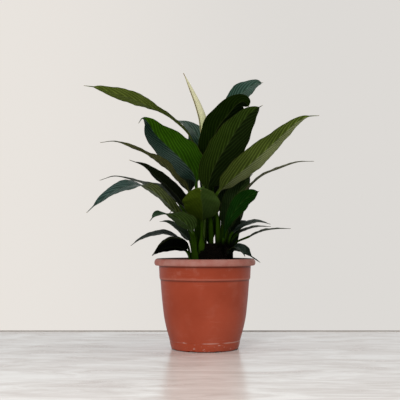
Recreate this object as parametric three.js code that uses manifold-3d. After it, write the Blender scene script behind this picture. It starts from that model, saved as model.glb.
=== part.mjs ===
// A potted peace lily: a rosette of long-stalked leaves and one rolled young bloom,
// rooted in a plug of peat that stands proud of a round plastic pot.
// Units are millimetres. +Z is up, the pot stands on Z = 0 and its axis is the Z axis.
// The plant's front faces -Y.

import * as THREE from 'three';
import { mergeVertices } from 'three/addons/utils/BufferGeometryUtils.js';
import Module from 'manifold-3d';

const wasm = await Module();
wasm.setup();

// ---------------------------------------------------------------- driving dimensions

const POT_HEIGHT = 150;
const RIM_RADIUS = 85;          // outermost edge of the rolled rim, for a 17 cm pot
const RIM_UNDERSIDE = 138.5;
const COLLAR_RADIUS = 77;       // straight band under the rim
const COLLAR_BOTTOM = 116;
const BODY_TOP_RADIUS = 74.3;   // just under the collar
const FOOT_RADIUS = 55.5;
const WALL = 2;
const FLOOR_HEIGHT = 6;         // inner floor of the pot
const POT_SIDES = 32;

const DRAIN = { holes: 6, radius: 5, circle: 34, sides: 8 };
const HUB_RADIUS = 16;          // flat disc in the middle of the underside
const RECESS_RADIUS = 48;       // outside of the shallow ring-shaped recess
const RECESS_DEPTH = 2;
const NOTCH = { count: 8, width: 12, depth: 1.6, length: 16 };

const FIT_GAP = 0.4;            // air between pieces that touch

const SOIL_WALL_HEIGHT = 142;   // where the peat meets the pot's wall
const PLUG = { x: 11, y: 4, radius: 29, flank: 12, height: 173 };
const SOIL = { rings: 8, sides: 28, seed: 41, roughness: 1.3 };

const STEM_START = 1;           // a stem begins this far above the bottom of its hole
const SOCKET_LENGTH = 32;       // a stem's hole follows it this far, out into the air
const SOCKET_SIDES = 6;

const BLADE_THICKNESS = 1;
const BLADE_TIP_RADIUS = 0.5;
const DRIP_WIDTH = 1.6;         // half the width that the blade narrows to before its drip tip
const RIB = 0.8;                // how far the midrib stands out of the lower face
const BELLY = 0.41;             // where a blade is broadest, as a share of its length
const FULLNESS = 0.8;           // power of the outline: smaller is blunter
const DRIP_TIP = 0.07;          // share of the blade that is drawn out to a thread

// How finely a leaf of each size is made: points across one face, and steps along it.
const SIZES = {
  large: { columns: 5, stem: 2.4, stemSteps: 5, bladeSteps: 15 },
  medium: { columns: 3, stem: 2.1, stemSteps: 5, bladeSteps: 14 },
  small: { columns: 3, stem: 1.8, stemSteps: 4, bladeSteps: 11 },
};

// Each leaf: its size, the share of the spine where the blade starts, the blade's flat width,
// the angle by which each half is folded up, the way its upper face looks at the blade's base
// and at its tip, and its spine from the root in the peat to the drip tip. Some have a belly or
// fullness of their own, and a wave of the margin as [height, number of waves, phase].
const LEAVES = {
  // left side, from the top down
  leaf_left_long: {
    size: 'large', blade: 0.45, width: 32, belly: 0.63, fullness: 0.7, fold: 8, wave: [1.5, 2, 0],
    face: [0.3, -0.14, 1], tipFace: [0, 0.7, 0.8],
    spine: [[-2, 6, 154], [-8, 10, 207], [-14, 15, 264], [-14, 22, 303], [-16, 25, 338],
      [-26, 22, 360], [-44, 12, 378], [-66, 0, 393], [-92, -10, 405], [-122, -20, 417],
      [-152, -30, 425], [-178, -38, 432], [-199, -45, 434]],
  },
  leaf_left_back: {
    size: 'large', blade: 0.51, width: 50, fold: 12, wave: [2, 2, 1],
    face: [-0.3, -0.7, 0.8], tipFace: [0.2, -0.5, 1],
    spine: [[0, 24, 154], [0, 33, 225], [-1, 46, 286], [-5, 58, 338], [-14, 66, 367],
      [-32, 74, 386], [-56, 84, 398]],
  },
  leaf_left_broad: {
    size: 'large', blade: 0.43, width: 72, belly: 0.38, fullness: 0.72, fold: 18, wave: [1.5, 2, 2],
    face: [0.2, -1, 0.5], tipFace: [0.2, -1, 0.6],
    spine: [[-11, -2, 154], [-13, -2, 224], [-14, -2, 264], [-18, 0, 290], [-40, 2, 317],
      [-67, 8, 343], [-86, 12, 363], [-97, 12, 381], [-106, 10, 388], [-113, 8, 379]],
  },
  leaf_left_slim: {
    size: 'medium', blade: 0.39, width: 25, belly: 0.4, fold: 10, wave: [1.5, 3, 0.5],
    face: [0.6, 0.5, 0.8], tipFace: [0.2, 0.1, 1],
    spine: [[-13, -10, 148], [-16, -16, 205], [-20, -20, 240], [-30, -24, 268], [-47, -28, 283],
      [-64, -32, 303], [-90, -40, 319], [-120, -48, 332.5], [-147, -54, 341], [-170, -58, 338.5]],
  },
  leaf_left_dark: {
    size: 'medium', blade: 0.39, width: 36, fold: 14, wave: [1, 2, 0],
    face: [0.3, 0.6, 0.8], tipFace: [0.2, 0.3, 1],
    spine: [[-15, 8, 151], [-22, 8, 205], [-29, 8, 231], [-42, 8, 251], [-61, 6, 271],
      [-81, 4, 288], [-103, 2, 306], [-128, 0, 316]],
  },
  leaf_left_thin: {
    size: 'medium', blade: 0.38, width: 32, belly: 0.3, fold: 8, wave: [1, 2, 1],
    face: [0.6, -0.6, 0.7], tipFace: [0.1, 0, 1],
    spine: [[-16, 16, 145], [-24, 22, 199], [-34, 28, 227], [-51, 36, 251], [-76, 46, 270],
      [-103, 56, 279], [-131, 64, 288], [-160, 72, 294], [-187, 78, 287]],
  },
  leaf_left_arching: {
    size: 'large', blade: 0.31, width: 35, belly: 0.46, fold: 12, wave: [2, 3, 0],
    face: [0.6, 0.9, 0.5], tipFace: [-0.2, -1, 0.7],
    spine: [[-19, -16, 130], [-21, -18, 182], [-30, -24, 206], [-44, -32, 224], [-61, -44, 242],
      [-80, -56, 258], [-101, -68, 268], [-124, -80, 266], [-146, -90, 257], [-167, -98, 241],
      [-185, -104, 223]],
  },
  leaf_left_hooked: {
    size: 'large', blade: 0.42, width: 48, belly: 0.4, fold: 12, wave: [1, 2, 1],
    face: [0.4, 0.8, 0.6], tipFace: [0, -0.4, 1],
    spine: [[-16, -26, 125], [-16, -32, 180], [-21, -42, 195], [-34, -56, 210], [-50, -70, 219],
      [-67, -84, 222], [-79, -94, 219], [-87, -100, 210]],
  },
  leaf_left_small: {
    size: 'small', blade: 0.43, width: 30, fold: 10,
    face: [0.3, 0.7, 0.7], tipFace: [0, 0.4, 1],
    spine: [[-19, 28, 126], [-25, 32, 178], [-32, 36, 188], [-44, 42, 198], [-57, 50, 207],
      [-69, 56, 213], [-79, 60, 213]],
  },
  leaf_left_drooping: {
    size: 'small', blade: 0.38, width: 29, fold: 10,
    face: [0.2, -0.3, 1], tipFace: [-0.3, -0.3, 1],
    spine: [[-22, 1, 136], [-29, 0, 170], [-38, 0, 181], [-55, -2, 189], [-72, -4, 192],
      [-92, -6, 188], [-110, -8, 181], [-124, -10, 171]],
  },
  leaf_left_low_thin: {
    size: 'small', blade: 0.46, width: 15, fold: 8,
    face: [0, 0.1, 1], tipFace: [-0.6, 0, 0.8],
    spine: [[-21, 13, 136], [-31, 20, 175], [-46, 28, 185], [-61, 36, 184], [-77, 46, 172],
      [-92, 56, 154]],
  },
  leaf_left_low: {
    size: 'small', blade: 0.34, width: 39, fullness: 0.65, fold: 14,
    face: [0.1, 0.8, 1], tipFace: [-0.4, 0.6, 0.9],
    spine: [[-22, -12, 129], [-29, -16, 160], [-42, -22, 169], [-58, -30, 169], [-74, -38, 164],
      [-86, -44, 155]],
  },

  // right side, from the top down
  leaf_right_top: {
    size: 'large', blade: 0.51, width: 43, belly: 0.66, fullness: 0.5, drip: 0.02, fold: 12,
    wave: [2, 3, 0], face: [-0.6, -0.8, 0.4], tipFace: [-0.3, -0.9, 0.7],
    spine: [[22, 18, 154], [19, 26, 216], [13, 32, 268], [14, 36, 311], [27, 42, 367],
      [45, 48, 408], [63, 54, 436], [79, 60, 451], [92, 63, 458], [104, 66, 460]],
  },
  leaf_right_shaded: {
    size: 'large', blade: 0.47, width: 52, belly: 0.53, fullness: 0.45, drip: 0.02, fold: 10,
    wave: [1.5, 2, 0], face: [-0.3, -1, 0.2], tipFace: [0.2, -1, 0.4],
    spine: [[11, 8, 154], [9, 12, 216], [4, 16, 267], [5, 18, 308], [12, 18, 345],
      [23, 18, 374], [42, 18, 398], [55, 18, 413], [66, 18, 418], [77, 18, 408]],
  },
  leaf_right_centre: {
    size: 'large', blade: 0.38, width: 63, belly: 0.41, fullness: 0.6, drip: 0.04, fold: 10,
    wave: [1.5, 2, 1], face: [0.25, 1, -0.2], tipFace: [0.2, 1, -0.2],
    spine: [[11, -8, 154], [10, -10, 215], [6, -12, 270], [18, -14, 307], [36, -16, 337],
      [56, -16, 369], [76, -14, 393], [97, -12, 407]],
  },
  leaf_right_pale: {
    size: 'large', blade: 0.34, width: 49, belly: 0.35, fold: 12, wave: [1, 2, 0],
    face: [-0.5, 0.9, 0.6], tipFace: [-0.4, 0.9, 0.8],
    spine: [[23, -16, 153], [21, -20, 215], [18, -26, 253], [42, -34, 279], [69, -44, 301],
      [92, -54, 321], [113, -64, 340], [130, -74, 355], [145, -80, 368], [160, -86, 376],
      [180, -94, 377]],
  },
  leaf_right_thin: {
    size: 'medium', blade: 0.43, width: 35, fold: 8, wave: [0.8, 2, 0],
    face: [-0.4, -0.1, 1], tipFace: [0, -0.1, 1],
    spine: [[32, 2, 154], [37, 2, 199], [51, 0, 235], [71, -2, 266], [96, -6, 289],
      [125, -10, 301], [155, -14, 311], [182, -18, 312]],
  },
  leaf_right_green: {
    size: 'medium', blade: 0.26, width: 31, belly: 0.7, fullness: 0.66, drip: 0.03, fold: 14,
    wave: [1.5, 2, 2], face: [-0.2, -1, 0.3], tipFace: [0, -1, 0.5],
    spine: [[29, -19, 146], [31, -22, 185], [39, -26, 211], [51, -30, 231], [65, -34, 247],
      [78, -38, 255], [89, -42, 261]],
  },
  leaf_right_grey: {
    size: 'medium', blade: 0.28, width: 40, belly: 0.5, fullness: 0.6, fold: 14, wave: [1, 2, 0],
    face: [-0.3, -1, 0.2], tipFace: [0, -1, 0.3],
    spine: [[34, 10, 153], [38, 12, 195], [43, 14, 224], [53, 16, 253], [67, 18, 278],
      [82, 21, 294]],
  },
  leaf_right_blue: {
    size: 'small', blade: 0.41, width: 31, fold: 10,
    face: [0, -0.4, 1], tipFace: [0.3, -0.2, 1],
    spine: [[37, -5, 149], [44, -6, 190], [57, -8, 200], [72, -12, 207], [87, -14, 211],
      [98, -16, 210], [109, -18, 207]],
  },
  leaf_right_wire_short: {
    size: 'small', blade: 0.46, width: 18, fold: 8,
    face: [-0.2, -0.25, 1], tipFace: [0.2, -0.1, 1],
    spine: [[40, 15, 141], [46, 16, 180], [58, 20, 193], [74, 24, 200], [91, 28, 204],
      [114, 34, 204]],
  },
  leaf_right_wire_long: {
    size: 'small', blade: 0.44, width: 18, fold: 6,
    face: [-0.3, -0.2, 1], tipFace: [0, -0.1, 1],
    spine: [[41, 4, 144], [50, 4, 174], [73, 4, 186], [96, 4, 196], [122, 4, 200], [145, 4, 200]],
  },
  leaf_right_low: {
    size: 'small', blade: 0.31, width: 25, belly: 0.46, drip: 0.3, fold: 12,
    face: [0.3, -0.7, 0.8], tipFace: [0.6, -0.6, 0.7],
    spine: [[38, -14, 138], [44, -20, 160], [52, -26, 167], [61, -30, 165], [69, -34, 159],
      [77, -37, 153], [90, -41, 144]],
  },
  leaf_right_low_front: {
    size: 'small', blade: 0.4, width: 28, fold: 12,
    face: [0.2, -0.6, 0.9], tipFace: [0.5, -0.6, 0.7],
    spine: [[34, -25, 128], [39, -32, 157], [45, -40, 166], [53, -48, 169], [60, -56, 163],
      [64, -62, 154]],
  },

  // front
  leaf_front: {
    size: 'large', blade: 0.32, width: 62, fold: -14, wave: [1.5, 2, 0],
    face: [0, 0.6, 1], tipFace: [0, 0, 1],
    spine: [[-6, -18, 148], [-5, -24, 202], [-4, -36, 224], [-5, -56, 241], [-7, -80, 251],
      [-7, -106, 259], [-7, -130, 261], [-7, -146, 255]],
  },

  // back
  leaf_back_tall: {
    size: 'medium', blade: 0.24, width: 40, fullness: 0.6, fold: 14, wave: [2, 2, 0],
    face: [0, -1, 0.4], tipFace: [0, -0.7, 1],
    spine: [[11, 26, 154], [13, 44, 230], [11, 68, 300], [12, 94, 350], [17, 130, 380]],
  },
  leaf_back_left: {
    size: 'medium', blade: 0.47, width: 46, fold: 14, wave: [2, 2, 1],
    face: [0.2, -0.7, 0.8], tipFace: [-0.3, -0.1, 1],
    spine: [[-7, 33, 134], [-14, 46, 215], [-28, 66, 270], [-48, 96, 315], [-66, 130, 335],
      [-80, 168, 330]],
  },
  leaf_back_right: {
    size: 'medium', blade: 0.48, width: 46, fold: 14, wave: [2, 2, 2],
    face: [-0.3, -0.7, 0.8], tipFace: [0.2, -0.1, 1],
    spine: [[21, 34, 140], [28, 46, 230], [46, 66, 285], [70, 90, 322], [94, 118, 340],
      [116, 146, 336]],
  },
  leaf_back_high: {
    size: 'medium', blade: 0.3, width: 46, belly: 0.36, fold: 12, wave: [2, 2, 0],
    face: [-0.2, -0.8, 0.6], tipFace: [0.1, -0.2, 1],
    spine: [[29, 22, 152], [32, 38, 230], [44, 52, 300], [51, 74, 352], [62, 102, 384],
      [76, 134, 392]],
  },
  leaf_back_low_left: {
    size: 'medium', blade: 0.4, width: 40, fold: 12, wave: [2, 2, 0],
    face: [0, -0.4, 1], tipFace: [0, 0.6, 1],
    spine: [[2, 36, 136], [-3, 62, 212], [-10, 86, 250], [-17, 120, 262], [-21, 154, 245],
      [-23, 188, 215]],
  },
  leaf_back_low_right: {
    size: 'medium', blade: 0.4, width: 40, fold: 12, wave: [2, 2, 1],
    face: [0, -0.4, 1], tipFace: [0.3, 0.6, 1],
    spine: [[30, 31, 137], [30, 60, 206], [38, 86, 246], [53, 112, 252], [62, 146, 238],
      [71, 178, 212]],
  },
  leaf_back_far_left: {
    size: 'small', blade: 0.46, width: 32, fold: 10,
    face: [0.2, -0.5, 0.9], tipFace: [-0.4, 0.3, 1],
    spine: [[-14, 34, 125], [-24, 50, 206], [-38, 66, 234], [-50, 82, 240], [-64, 98, 228]],
  },
  leaf_back_far_right: {
    size: 'small', blade: 0.47, width: 28, fold: 10,
    face: [-0.2, -0.3, 1], tipFace: [0.4, 0.3, 1],
    spine: [[45, 46, 125], [50, 56, 182], [57, 70, 206], [63, 92, 216], [69, 118, 210]],
  },
  leaf_back_drooping_left: {
    size: 'small', blade: 0.42, width: 28, fold: 10,
    face: [0, -0.2, 1], tipFace: [0, 0.6, 0.8],
    spine: [[-6, 42, 125], [-12, 62, 182], [-17, 86, 194], [-21, 112, 187], [-24, 136, 168]],
  },
  leaf_back_drooping_right: {
    size: 'small', blade: 0.42, width: 28, fold: 10,
    face: [0, -0.2, 1], tipFace: [0.1, 0.6, 0.8],
    spine: [[22, 43, 125], [30, 62, 180], [36, 84, 192], [41, 108, 186], [46, 132, 168]],
  },
  leaf_back_short_left: {
    size: 'small', blade: 0.3, width: 32, fullness: 0.6, fold: 12,
    face: [0, -1, 0.3], tipFace: [0, -0.9, 0.6],
    spine: [[9, 44, 125], [7, 49, 180], [4, 52, 210], [2, 56, 250], [1, 64, 290]],
  },
  leaf_back_short_right: {
    size: 'small', blade: 0.28, width: 34, fullness: 0.55, fold: 12,
    face: [0, -1, 0.3], tipFace: [0, -0.9, 0.6],
    spine: [[38, 36, 125], [42, 41, 165], [44, 44, 195], [48, 47, 225], [54, 53, 255]],
  },
};

// The bloom: a stalk, and a spathe that is still rolled round its spadix. The shares run along
// the spine, and the roll is open towards the way that spatheFace looks.
const FLOWER = {
  spine: [[-4, 17, 160], [-1, 22, 207], [-2, 29, 267], [-5, 32, 292], [-5, 34, 322],
    [-2, 36, 355], [-2, 36, 384], [-11, 36, 414], [-25, 36, 446], [-37, 36, 471]],
  stalk: { radius: 2.2, sides: 8, steps: 8, end: 0.62 },
  spathe: { start: 0.59, radius: 8.2, taper: 1.5, wrap: 152, steps: 14, columns: 9, thickness: 1 },
  spatheFace: [0.8, 0.6, 0.1],
  spadix: { start: 0.622, end: 0.78, radius: 3, knob: 0.35, sides: 8, steps: 12 },
};

const FINISH = {
  pot: { color: 0xa34e3a, roughness: 0.45 },
  soil: { color: 0x14100c, roughness: 1 },
  leaf: { color: 0x24401a, roughness: 0.35 },
  stalk: { color: 0x7f9a4a, roughness: 0.5 },
  spathe: { color: 0xd6dcae, roughness: 0.5 },
  spadix: { color: 0xd8d48a, roughness: 0.8 },
};

// ---------------------------------------------------------------- helpers

const vector = ([x, y, z]) => new THREE.Vector3(x, y, z);
const { lerp, degToRad } = THREE.MathUtils;

function piece(name, geometry, finish) {
  const material = new THREE.MeshStandardMaterial({ ...FINISH[finish], metalness: 0 });
  const mesh = new THREE.Mesh(geometry, material);
  mesh.name = name;
  return mesh;
}

function meshFrom(points, triangles) {
  const geometry = new THREE.BufferGeometry();
  geometry.setAttribute('position', new THREE.Float32BufferAttribute(points.flat(), 3));
  geometry.setIndex(triangles.flat());
  return geometry;
}

// A closed three.js geometry as a solid that can be joined and cut.
function solid(geometry) {
  const bare = new THREE.BufferGeometry();
  bare.setAttribute('position', geometry.getAttribute('position').clone());
  if (geometry.index) bare.setIndex(geometry.index.clone());
  const merged = mergeVertices(bare, 1e-4);
  return new wasm.Manifold(new wasm.Mesh({
    numProp: 3,
    vertProperties: new Float32Array(merged.getAttribute('position').array),
    triVerts: new Uint32Array(merged.index.array),
  }));
}

function geometryOf(shape) {
  const { vertProperties, triVerts } = shape.getMesh();
  const geometry = new THREE.BufferGeometry();
  geometry.setAttribute('position', new THREE.Float32BufferAttribute([...vertProperties], 3));
  geometry.setIndex([...triVerts]);
  return geometry;
}

// Repeatable random numbers from 0 to 1.
function randomFrom(seed) {
  let state = seed;
  return () => {
    state = (state * 1664525 + 1013904223) % 4294967296;
    return state / 4294967296;
  };
}

function smooth(from, to, value) {
  return THREE.MathUtils.smoothstep(value, from, to);
}

// Straight interpolation in a list of [at, value] pairs that rises in at.
function between(pairs, at) {
  const next = Math.max(1, pairs.findIndex(([place]) => place >= at));
  const [[from, low], [to, high]] = [pairs[next - 1], pairs[next]];
  return lerp(low, high, (at - from) / (to - from));
}

function spineCurve(points) {
  return new THREE.CatmullRomCurve3(points.map(vector), false, 'centripetal');
}

// A closed bar along a curve, with a ring of points at each share. radiusAt takes the share
// and the number of the side.
function bar(curve, shares, sides, radiusAt) {
  const points = [];
  for (const share of shares) {
    const centre = curve.getPointAt(share);
    const along = curve.getTangentAt(share);
    const sideways = new THREE.Vector3(0, 1, 0).cross(along).normalize();
    const forward = new THREE.Vector3().crossVectors(along, sideways);
    for (let side = 0; side < sides; side += 1) {
      const turn = (2 * Math.PI * side) / sides;
      const radius = radiusAt(share, side);
      points.push(centre.clone().addScaledVector(sideways, radius * Math.cos(turn))
        .addScaledVector(forward, radius * Math.sin(turn)).toArray());
    }
  }
  const triangles = [];
  for (let step = 0; step + 1 < shares.length; step += 1) {
    for (let side = 0; side < sides; side += 1) {
      const [a, b] = [step * sides + side, step * sides + ((side + 1) % sides)];
      triangles.push([a, b, b + sides], [a, b + sides, a + sides]);
    }
  }
  const top = (shares.length - 1) * sides;
  for (let side = 1; side + 1 < sides; side += 1) {
    triangles.push([0, side + 1, side], [top, top + side, top + side + 1]);
  }
  return meshFrom(points, triangles);
}

// steps + 1 shares from one end to the other.
function evenShares(from, to, steps) {
  return Array.from({ length: steps + 1 }, (_, step) => lerp(from, to, step / steps));
}

// Joins rings of 2 * half points, the first half on the upper face and the second on the lower.
// Quads on both faces are split along the same diagonal, so that the faces never cross.
function skin(rings, half) {
  const upper = (ring, column) => ring * 2 * half + column;
  const lower = (ring, column) => ring * 2 * half + half + column;
  const triangles = [];
  const quad = (a, b, c, d) => triangles.push([a, b, c], [a, c, d]);
  for (let ring = 0; ring + 1 < rings.length; ring += 1) {
    const next = ring + 1;
    for (let column = 0; column + 1 < half; column += 1) {
      const [a, b] = [upper(ring, column), upper(next, column)];
      quad(a, b, upper(next, column + 1), upper(ring, column + 1));
      const [c, d] = [lower(ring, column), lower(next, column)];
      quad(c, lower(ring, column + 1), lower(next, column + 1), d);
    }
    const last = half - 1;
    quad(upper(ring, 0), lower(ring, 0), lower(next, 0), upper(next, 0));
    quad(lower(ring, last), upper(ring, last), upper(next, last), lower(next, last));
  }
  const end = rings.length - 1;
  for (let column = 0; column + 1 < half; column += 1) {
    quad(upper(0, column), upper(0, column + 1), lower(0, column + 1), lower(0, column));
    quad(upper(end, column + 1), upper(end, column), lower(end, column), lower(end, column + 1));
  }
  return meshFrom(rings.flat(), triangles);
}

// ---------------------------------------------------------------- pot

// The outer wall of the pot from the foot to the rim's top, as [radius, height].
const POT_OUTSIDE = [
  [FOOT_RADIUS, 0], [57.7, 7], [59.3, 17], [63.9, 32], [68.3, 52], [71.8, 83],
  [BODY_TOP_RADIUS, COLLAR_BOTTOM - 1.5], [COLLAR_RADIUS - 1.2, COLLAR_BOTTOM + 1],
  [COLLAR_RADIUS, RIM_UNDERSIDE], [RIM_RADIUS - 2, RIM_UNDERSIDE], [RIM_RADIUS, 142],
  [RIM_RADIUS - 1, 146.4], [RIM_RADIUS - 3.4, 149.3], [RIM_RADIUS - 5, POT_HEIGHT],
];

// The inner wall from the floor up to the rim, as [height, radius].
const POT_INSIDE = [
  [FLOOR_HEIGHT, FOOT_RADIUS - 2.5], [FLOOR_HEIGHT + 2, FOOT_RADIUS], [17, 59.3 - WALL],
  [32, 63.9 - WALL], [52, 68.3 - WALL], [83, 71.8 - WALL], [COLLAR_BOTTOM, BODY_TOP_RADIUS - WALL],
  [POT_HEIGHT - 8, COLLAR_RADIUS - WALL], [POT_HEIGHT - 1.5, COLLAR_RADIUS - 0.4],
];

function makePot() {
  const underside = [[0, 0], [HUB_RADIUS, 0], [HUB_RADIUS + 1, RECESS_DEPTH],
    [RECESS_RADIUS - 1, RECESS_DEPTH], [RECESS_RADIUS, 0]];
  const inside = POT_INSIDE.map(([height, radius]) => [radius, height]).reverse();
  const profile = [...underside, ...POT_OUTSIDE, ...inside, [0, FLOOR_HEIGHT]];
  const outline = profile.map(([radius, height]) => new THREE.Vector2(radius, height));
  let pot = solid(new THREE.LatheGeometry(outline, POT_SIDES).rotateX(Math.PI / 2));
  for (let hole = 0; hole < DRAIN.holes; hole += 1) {
    const drill = new THREE.CylinderGeometry(DRAIN.radius, DRAIN.radius, 4 * FLOOR_HEIGHT, DRAIN.sides);
    drill.rotateX(Math.PI / 2).translate(DRAIN.circle, 0, 0).rotateZ((2 * Math.PI * hole) / DRAIN.holes);
    pot = pot.subtract(solid(drill));
  }
  for (let notch = 0; notch < NOTCH.count; notch += 1) {
    const cut = new THREE.BoxGeometry(NOTCH.length, NOTCH.width, 2 * NOTCH.depth);
    cut.translate((RECESS_RADIUS + FOOT_RADIUS) / 2, 0, 0);
    cut.rotateZ((2 * Math.PI * (notch + 0.5)) / NOTCH.count);
    pot = pot.subtract(solid(cut));
  }
  return piece('pot', geometryOf(pot), 'pot');
}

// ---------------------------------------------------------------- soil

// Height of the peat over a point of the pot's mouth: a plug with steep flanks.
function soilHeight(x, y) {
  const away = Math.hypot(x - PLUG.x, y - PLUG.y);
  const mound = 1 - smooth(PLUG.radius - PLUG.flank / 2, PLUG.radius + PLUG.flank, away);
  return SOIL_WALL_HEIGHT + (PLUG.height - SOIL_WALL_HEIGHT) * mound;
}

// The peat before the stems' holes: rings up the pot's wall, then over the surface.
function soilBody() {
  const random = randomFrom(SOIL.seed);
  const points = [[0, 0, FLOOR_HEIGHT + FIT_GAP]];
  const rings = [];
  const addRing = (radius, heightAt) => {
    rings.push(Array.from({ length: SOIL.sides }, (_, step) => {
      const turn = (2 * Math.PI * step) / SOIL.sides;
      const [x, y] = [radius * Math.cos(turn), radius * Math.sin(turn)];
      return points.push([x, y, heightAt(x, y)]) - 1;
    }));
  };
  const wallHeights = [FLOOR_HEIGHT + FIT_GAP, 17, 32, 52, 83, COLLAR_BOTTOM];
  for (const height of wallHeights) {
    addRing(between(POT_INSIDE, height) - 2 * FIT_GAP, () => height);
  }
  const mouth = between(POT_INSIDE, SOIL_WALL_HEIGHT) - 2 * FIT_GAP;
  for (let ring = 0; ring < SOIL.rings; ring += 1) {
    const rough = ring === 0 ? 0 : SOIL.roughness;
    addRing(mouth * (1 - ring / SOIL.rings), (x, y) => soilHeight(x, y) + rough * (2 * random() - 1));
  }
  const crown = points.push([0, 0, soilHeight(0, 0)]) - 1;
  const triangles = [];
  for (let step = 0; step < SOIL.sides; step += 1) {
    const next = (step + 1) % SOIL.sides;
    triangles.push([0, rings[0][next], rings[0][step]]);
    triangles.push([crown, rings.at(-1)[step], rings.at(-1)[next]]);
    for (let ring = 0; ring + 1 < rings.length; ring += 1) {
      const [a, b] = [rings[ring][step], rings[ring][next]];
      const [c, d] = [rings[ring + 1][next], rings[ring + 1][step]];
      triangles.push([a, b, c], [a, c, d]);
    }
  }
  return meshFrom(points, triangles);
}

// The hole that a stem stands in: it follows the stem's first stretch.
function socket(points, radius) {
  const curve = spineCurve(points);
  const wide = (radius + FIT_GAP) / Math.cos(Math.PI / SOCKET_SIDES);
  const shares = evenShares(0, SOCKET_LENGTH / curve.getLength(), 2);
  return bar(curve, shares, SOCKET_SIDES, () => wide);
}

function makeSoil() {
  let soil = solid(soilBody());
  for (const { spine, size } of Object.values(LEAVES)) {
    soil = soil.subtract(solid(socket(spine, SIZES[size].stem)));
  }
  soil = soil.subtract(solid(socket(FLOWER.spine, FLOWER.stalk.radius)));
  return piece('soil', geometryOf(soil), 'soil');
}

// ---------------------------------------------------------------- leaf

// Half the blade's width at a share of its length, for a widest half-width of 1.
function bladeOutline(share, belly, fullness, drip) {
  const body = Math.min(share / (1 - drip), 1);
  const power = Math.log(0.5) / Math.log(belly);
  return Math.sin(Math.PI * body ** power) ** fullness;
}

// Shares of the spine where a leaf has its sections.
function leafStations(leaf, length) {
  const { stemSteps, bladeSteps } = SIZES[leaf.size];
  const stem = evenShares(STEM_START / length, leaf.blade, stemSteps);
  return [...stem.slice(0, -1), ...evenShares(leaf.blade, 1, bladeSteps)];
}

// One leaf as one closed skin. Every section has the same number of points, half on the upper
// and half on the lower face, so that it runs from a round petiole into a thin blade.
function leafGeometry(leaf) {
  const curve = spineCurve(leaf.spine);
  const { columns, stem: stemRadius } = SIZES[leaf.size];
  const [waveHeight, waves, phase] = leaf.wave ?? [0, 0, 0];
  const fold = degToRad(leaf.fold);
  const rings = leafStations(leaf, curve.getLength()).map((share) => {
    const centre = curve.getPointAt(share);
    const along = curve.getTangentAt(share);
    const up = vector(leaf.face).normalize();
    up.lerp(vector(leaf.tipFace).normalize(), smooth(leaf.blade, 1, share));
    const normal = up.addScaledVector(along, -up.dot(along)).normalize();
    const across = new THREE.Vector3().crossVectors(normal, along);
    const bladeShare = Math.max(0, (share - leaf.blade) / (1 - leaf.blade));
    const outline = bladeOutline(bladeShare, leaf.belly ?? BELLY, leaf.fullness ?? FULLNESS,
      leaf.drip ?? DRIP_TIP);
    const atTip = bladeShare > 0.5;
    const least = atTip ? lerp(DRIP_WIDTH, BLADE_TIP_RADIUS, smooth(0.85, 1, bladeShare)) : 0;
    const halfWidth = Math.max((leaf.width / 2) * outline, least);
    const round = atTip ? BLADE_TIP_RADIUS : stemRadius;
    const flatness = atTip ? 1 - smooth(0.97, 1, bladeShare) : smooth(0, 0.1, bladeShare);
    const wave = waveHeight * Math.sin(2 * Math.PI * waves * bladeShare + phase) * outline;
    const ring = [];
    for (const face of [1, -1]) {
      for (let column = 0; column < columns; column += 1) {
        const u = (2 * column) / (columns - 1) - 1;
        const rib = face < 0 ? RIB * (1 - Math.abs(u)) * (1 - bladeShare) : 0;
        const lift = halfWidth * Math.abs(u) * Math.sin(fold) + wave * u * Math.abs(u);
        const turn = Math.PI * (1 - (column + 0.5) / columns) * face;
        const x = lerp(round * Math.cos(turn), halfWidth * u * Math.cos(fold), flatness);
        const z = lerp(round * Math.sin(turn), lift + face * (BLADE_THICKNESS / 2 + rib), flatness);
        ring.push(centre.clone().addScaledVector(across, x).addScaledVector(normal, z).toArray());
      }
    }
    return ring;
  });
  return skin(rings, columns);
}

// ---------------------------------------------------------------- flower

function makeStalk() {
  const curve = spineCurve(FLOWER.spine);
  const { radius, sides, steps, end } = FLOWER.stalk;
  const shares = evenShares(STEM_START / curve.getLength(), end, steps);
  return piece('flower_stalk', bar(curve, shares, sides, () => radius), 'stalk');
}

// The rolled spathe: a sheet bent into an open tube that is drawn out to a long point.
function makeSpathe() {
  const curve = spineCurve(FLOWER.spine);
  const { start, radius, taper, wrap, steps, columns, thickness } = FLOWER.spathe;
  const halfColumn = degToRad(wrap / (columns - 1));
  const collar = (FLOWER.stalk.radius + FIT_GAP + thickness / 2) / Math.cos(halfColumn);
  const rings = evenShares(start, 1, steps).map((share) => {
    const centre = curve.getPointAt(share);
    const along = curve.getTangentAt(share);
    const up = vector(FLOWER.spatheFace);
    const normal = up.addScaledVector(along, -up.dot(along)).normalize();
    const across = new THREE.Vector3().crossVectors(normal, along);
    const grown = (share - start) / (1 - start);
    const body = collar + (radius - collar) * smooth(0, 0.3, grown);
    const middle = Math.max(body * (1 - grown ** taper), 0.75 * thickness);
    const ring = [];
    for (const face of [-1, 1]) {
      for (let column = 0; column < columns; column += 1) {
        const turn = degToRad(wrap) * ((2 * column) / (columns - 1) - 1);
        const away = middle + (face * thickness) / 2;
        ring.push(centre.clone().addScaledVector(across, away * Math.sin(turn))
          .addScaledVector(normal, -away * Math.cos(turn)).toArray());
      }
    }
    return ring;
  });
  return piece('flower_spathe', skin(rings, columns), 'spathe');
}

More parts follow.
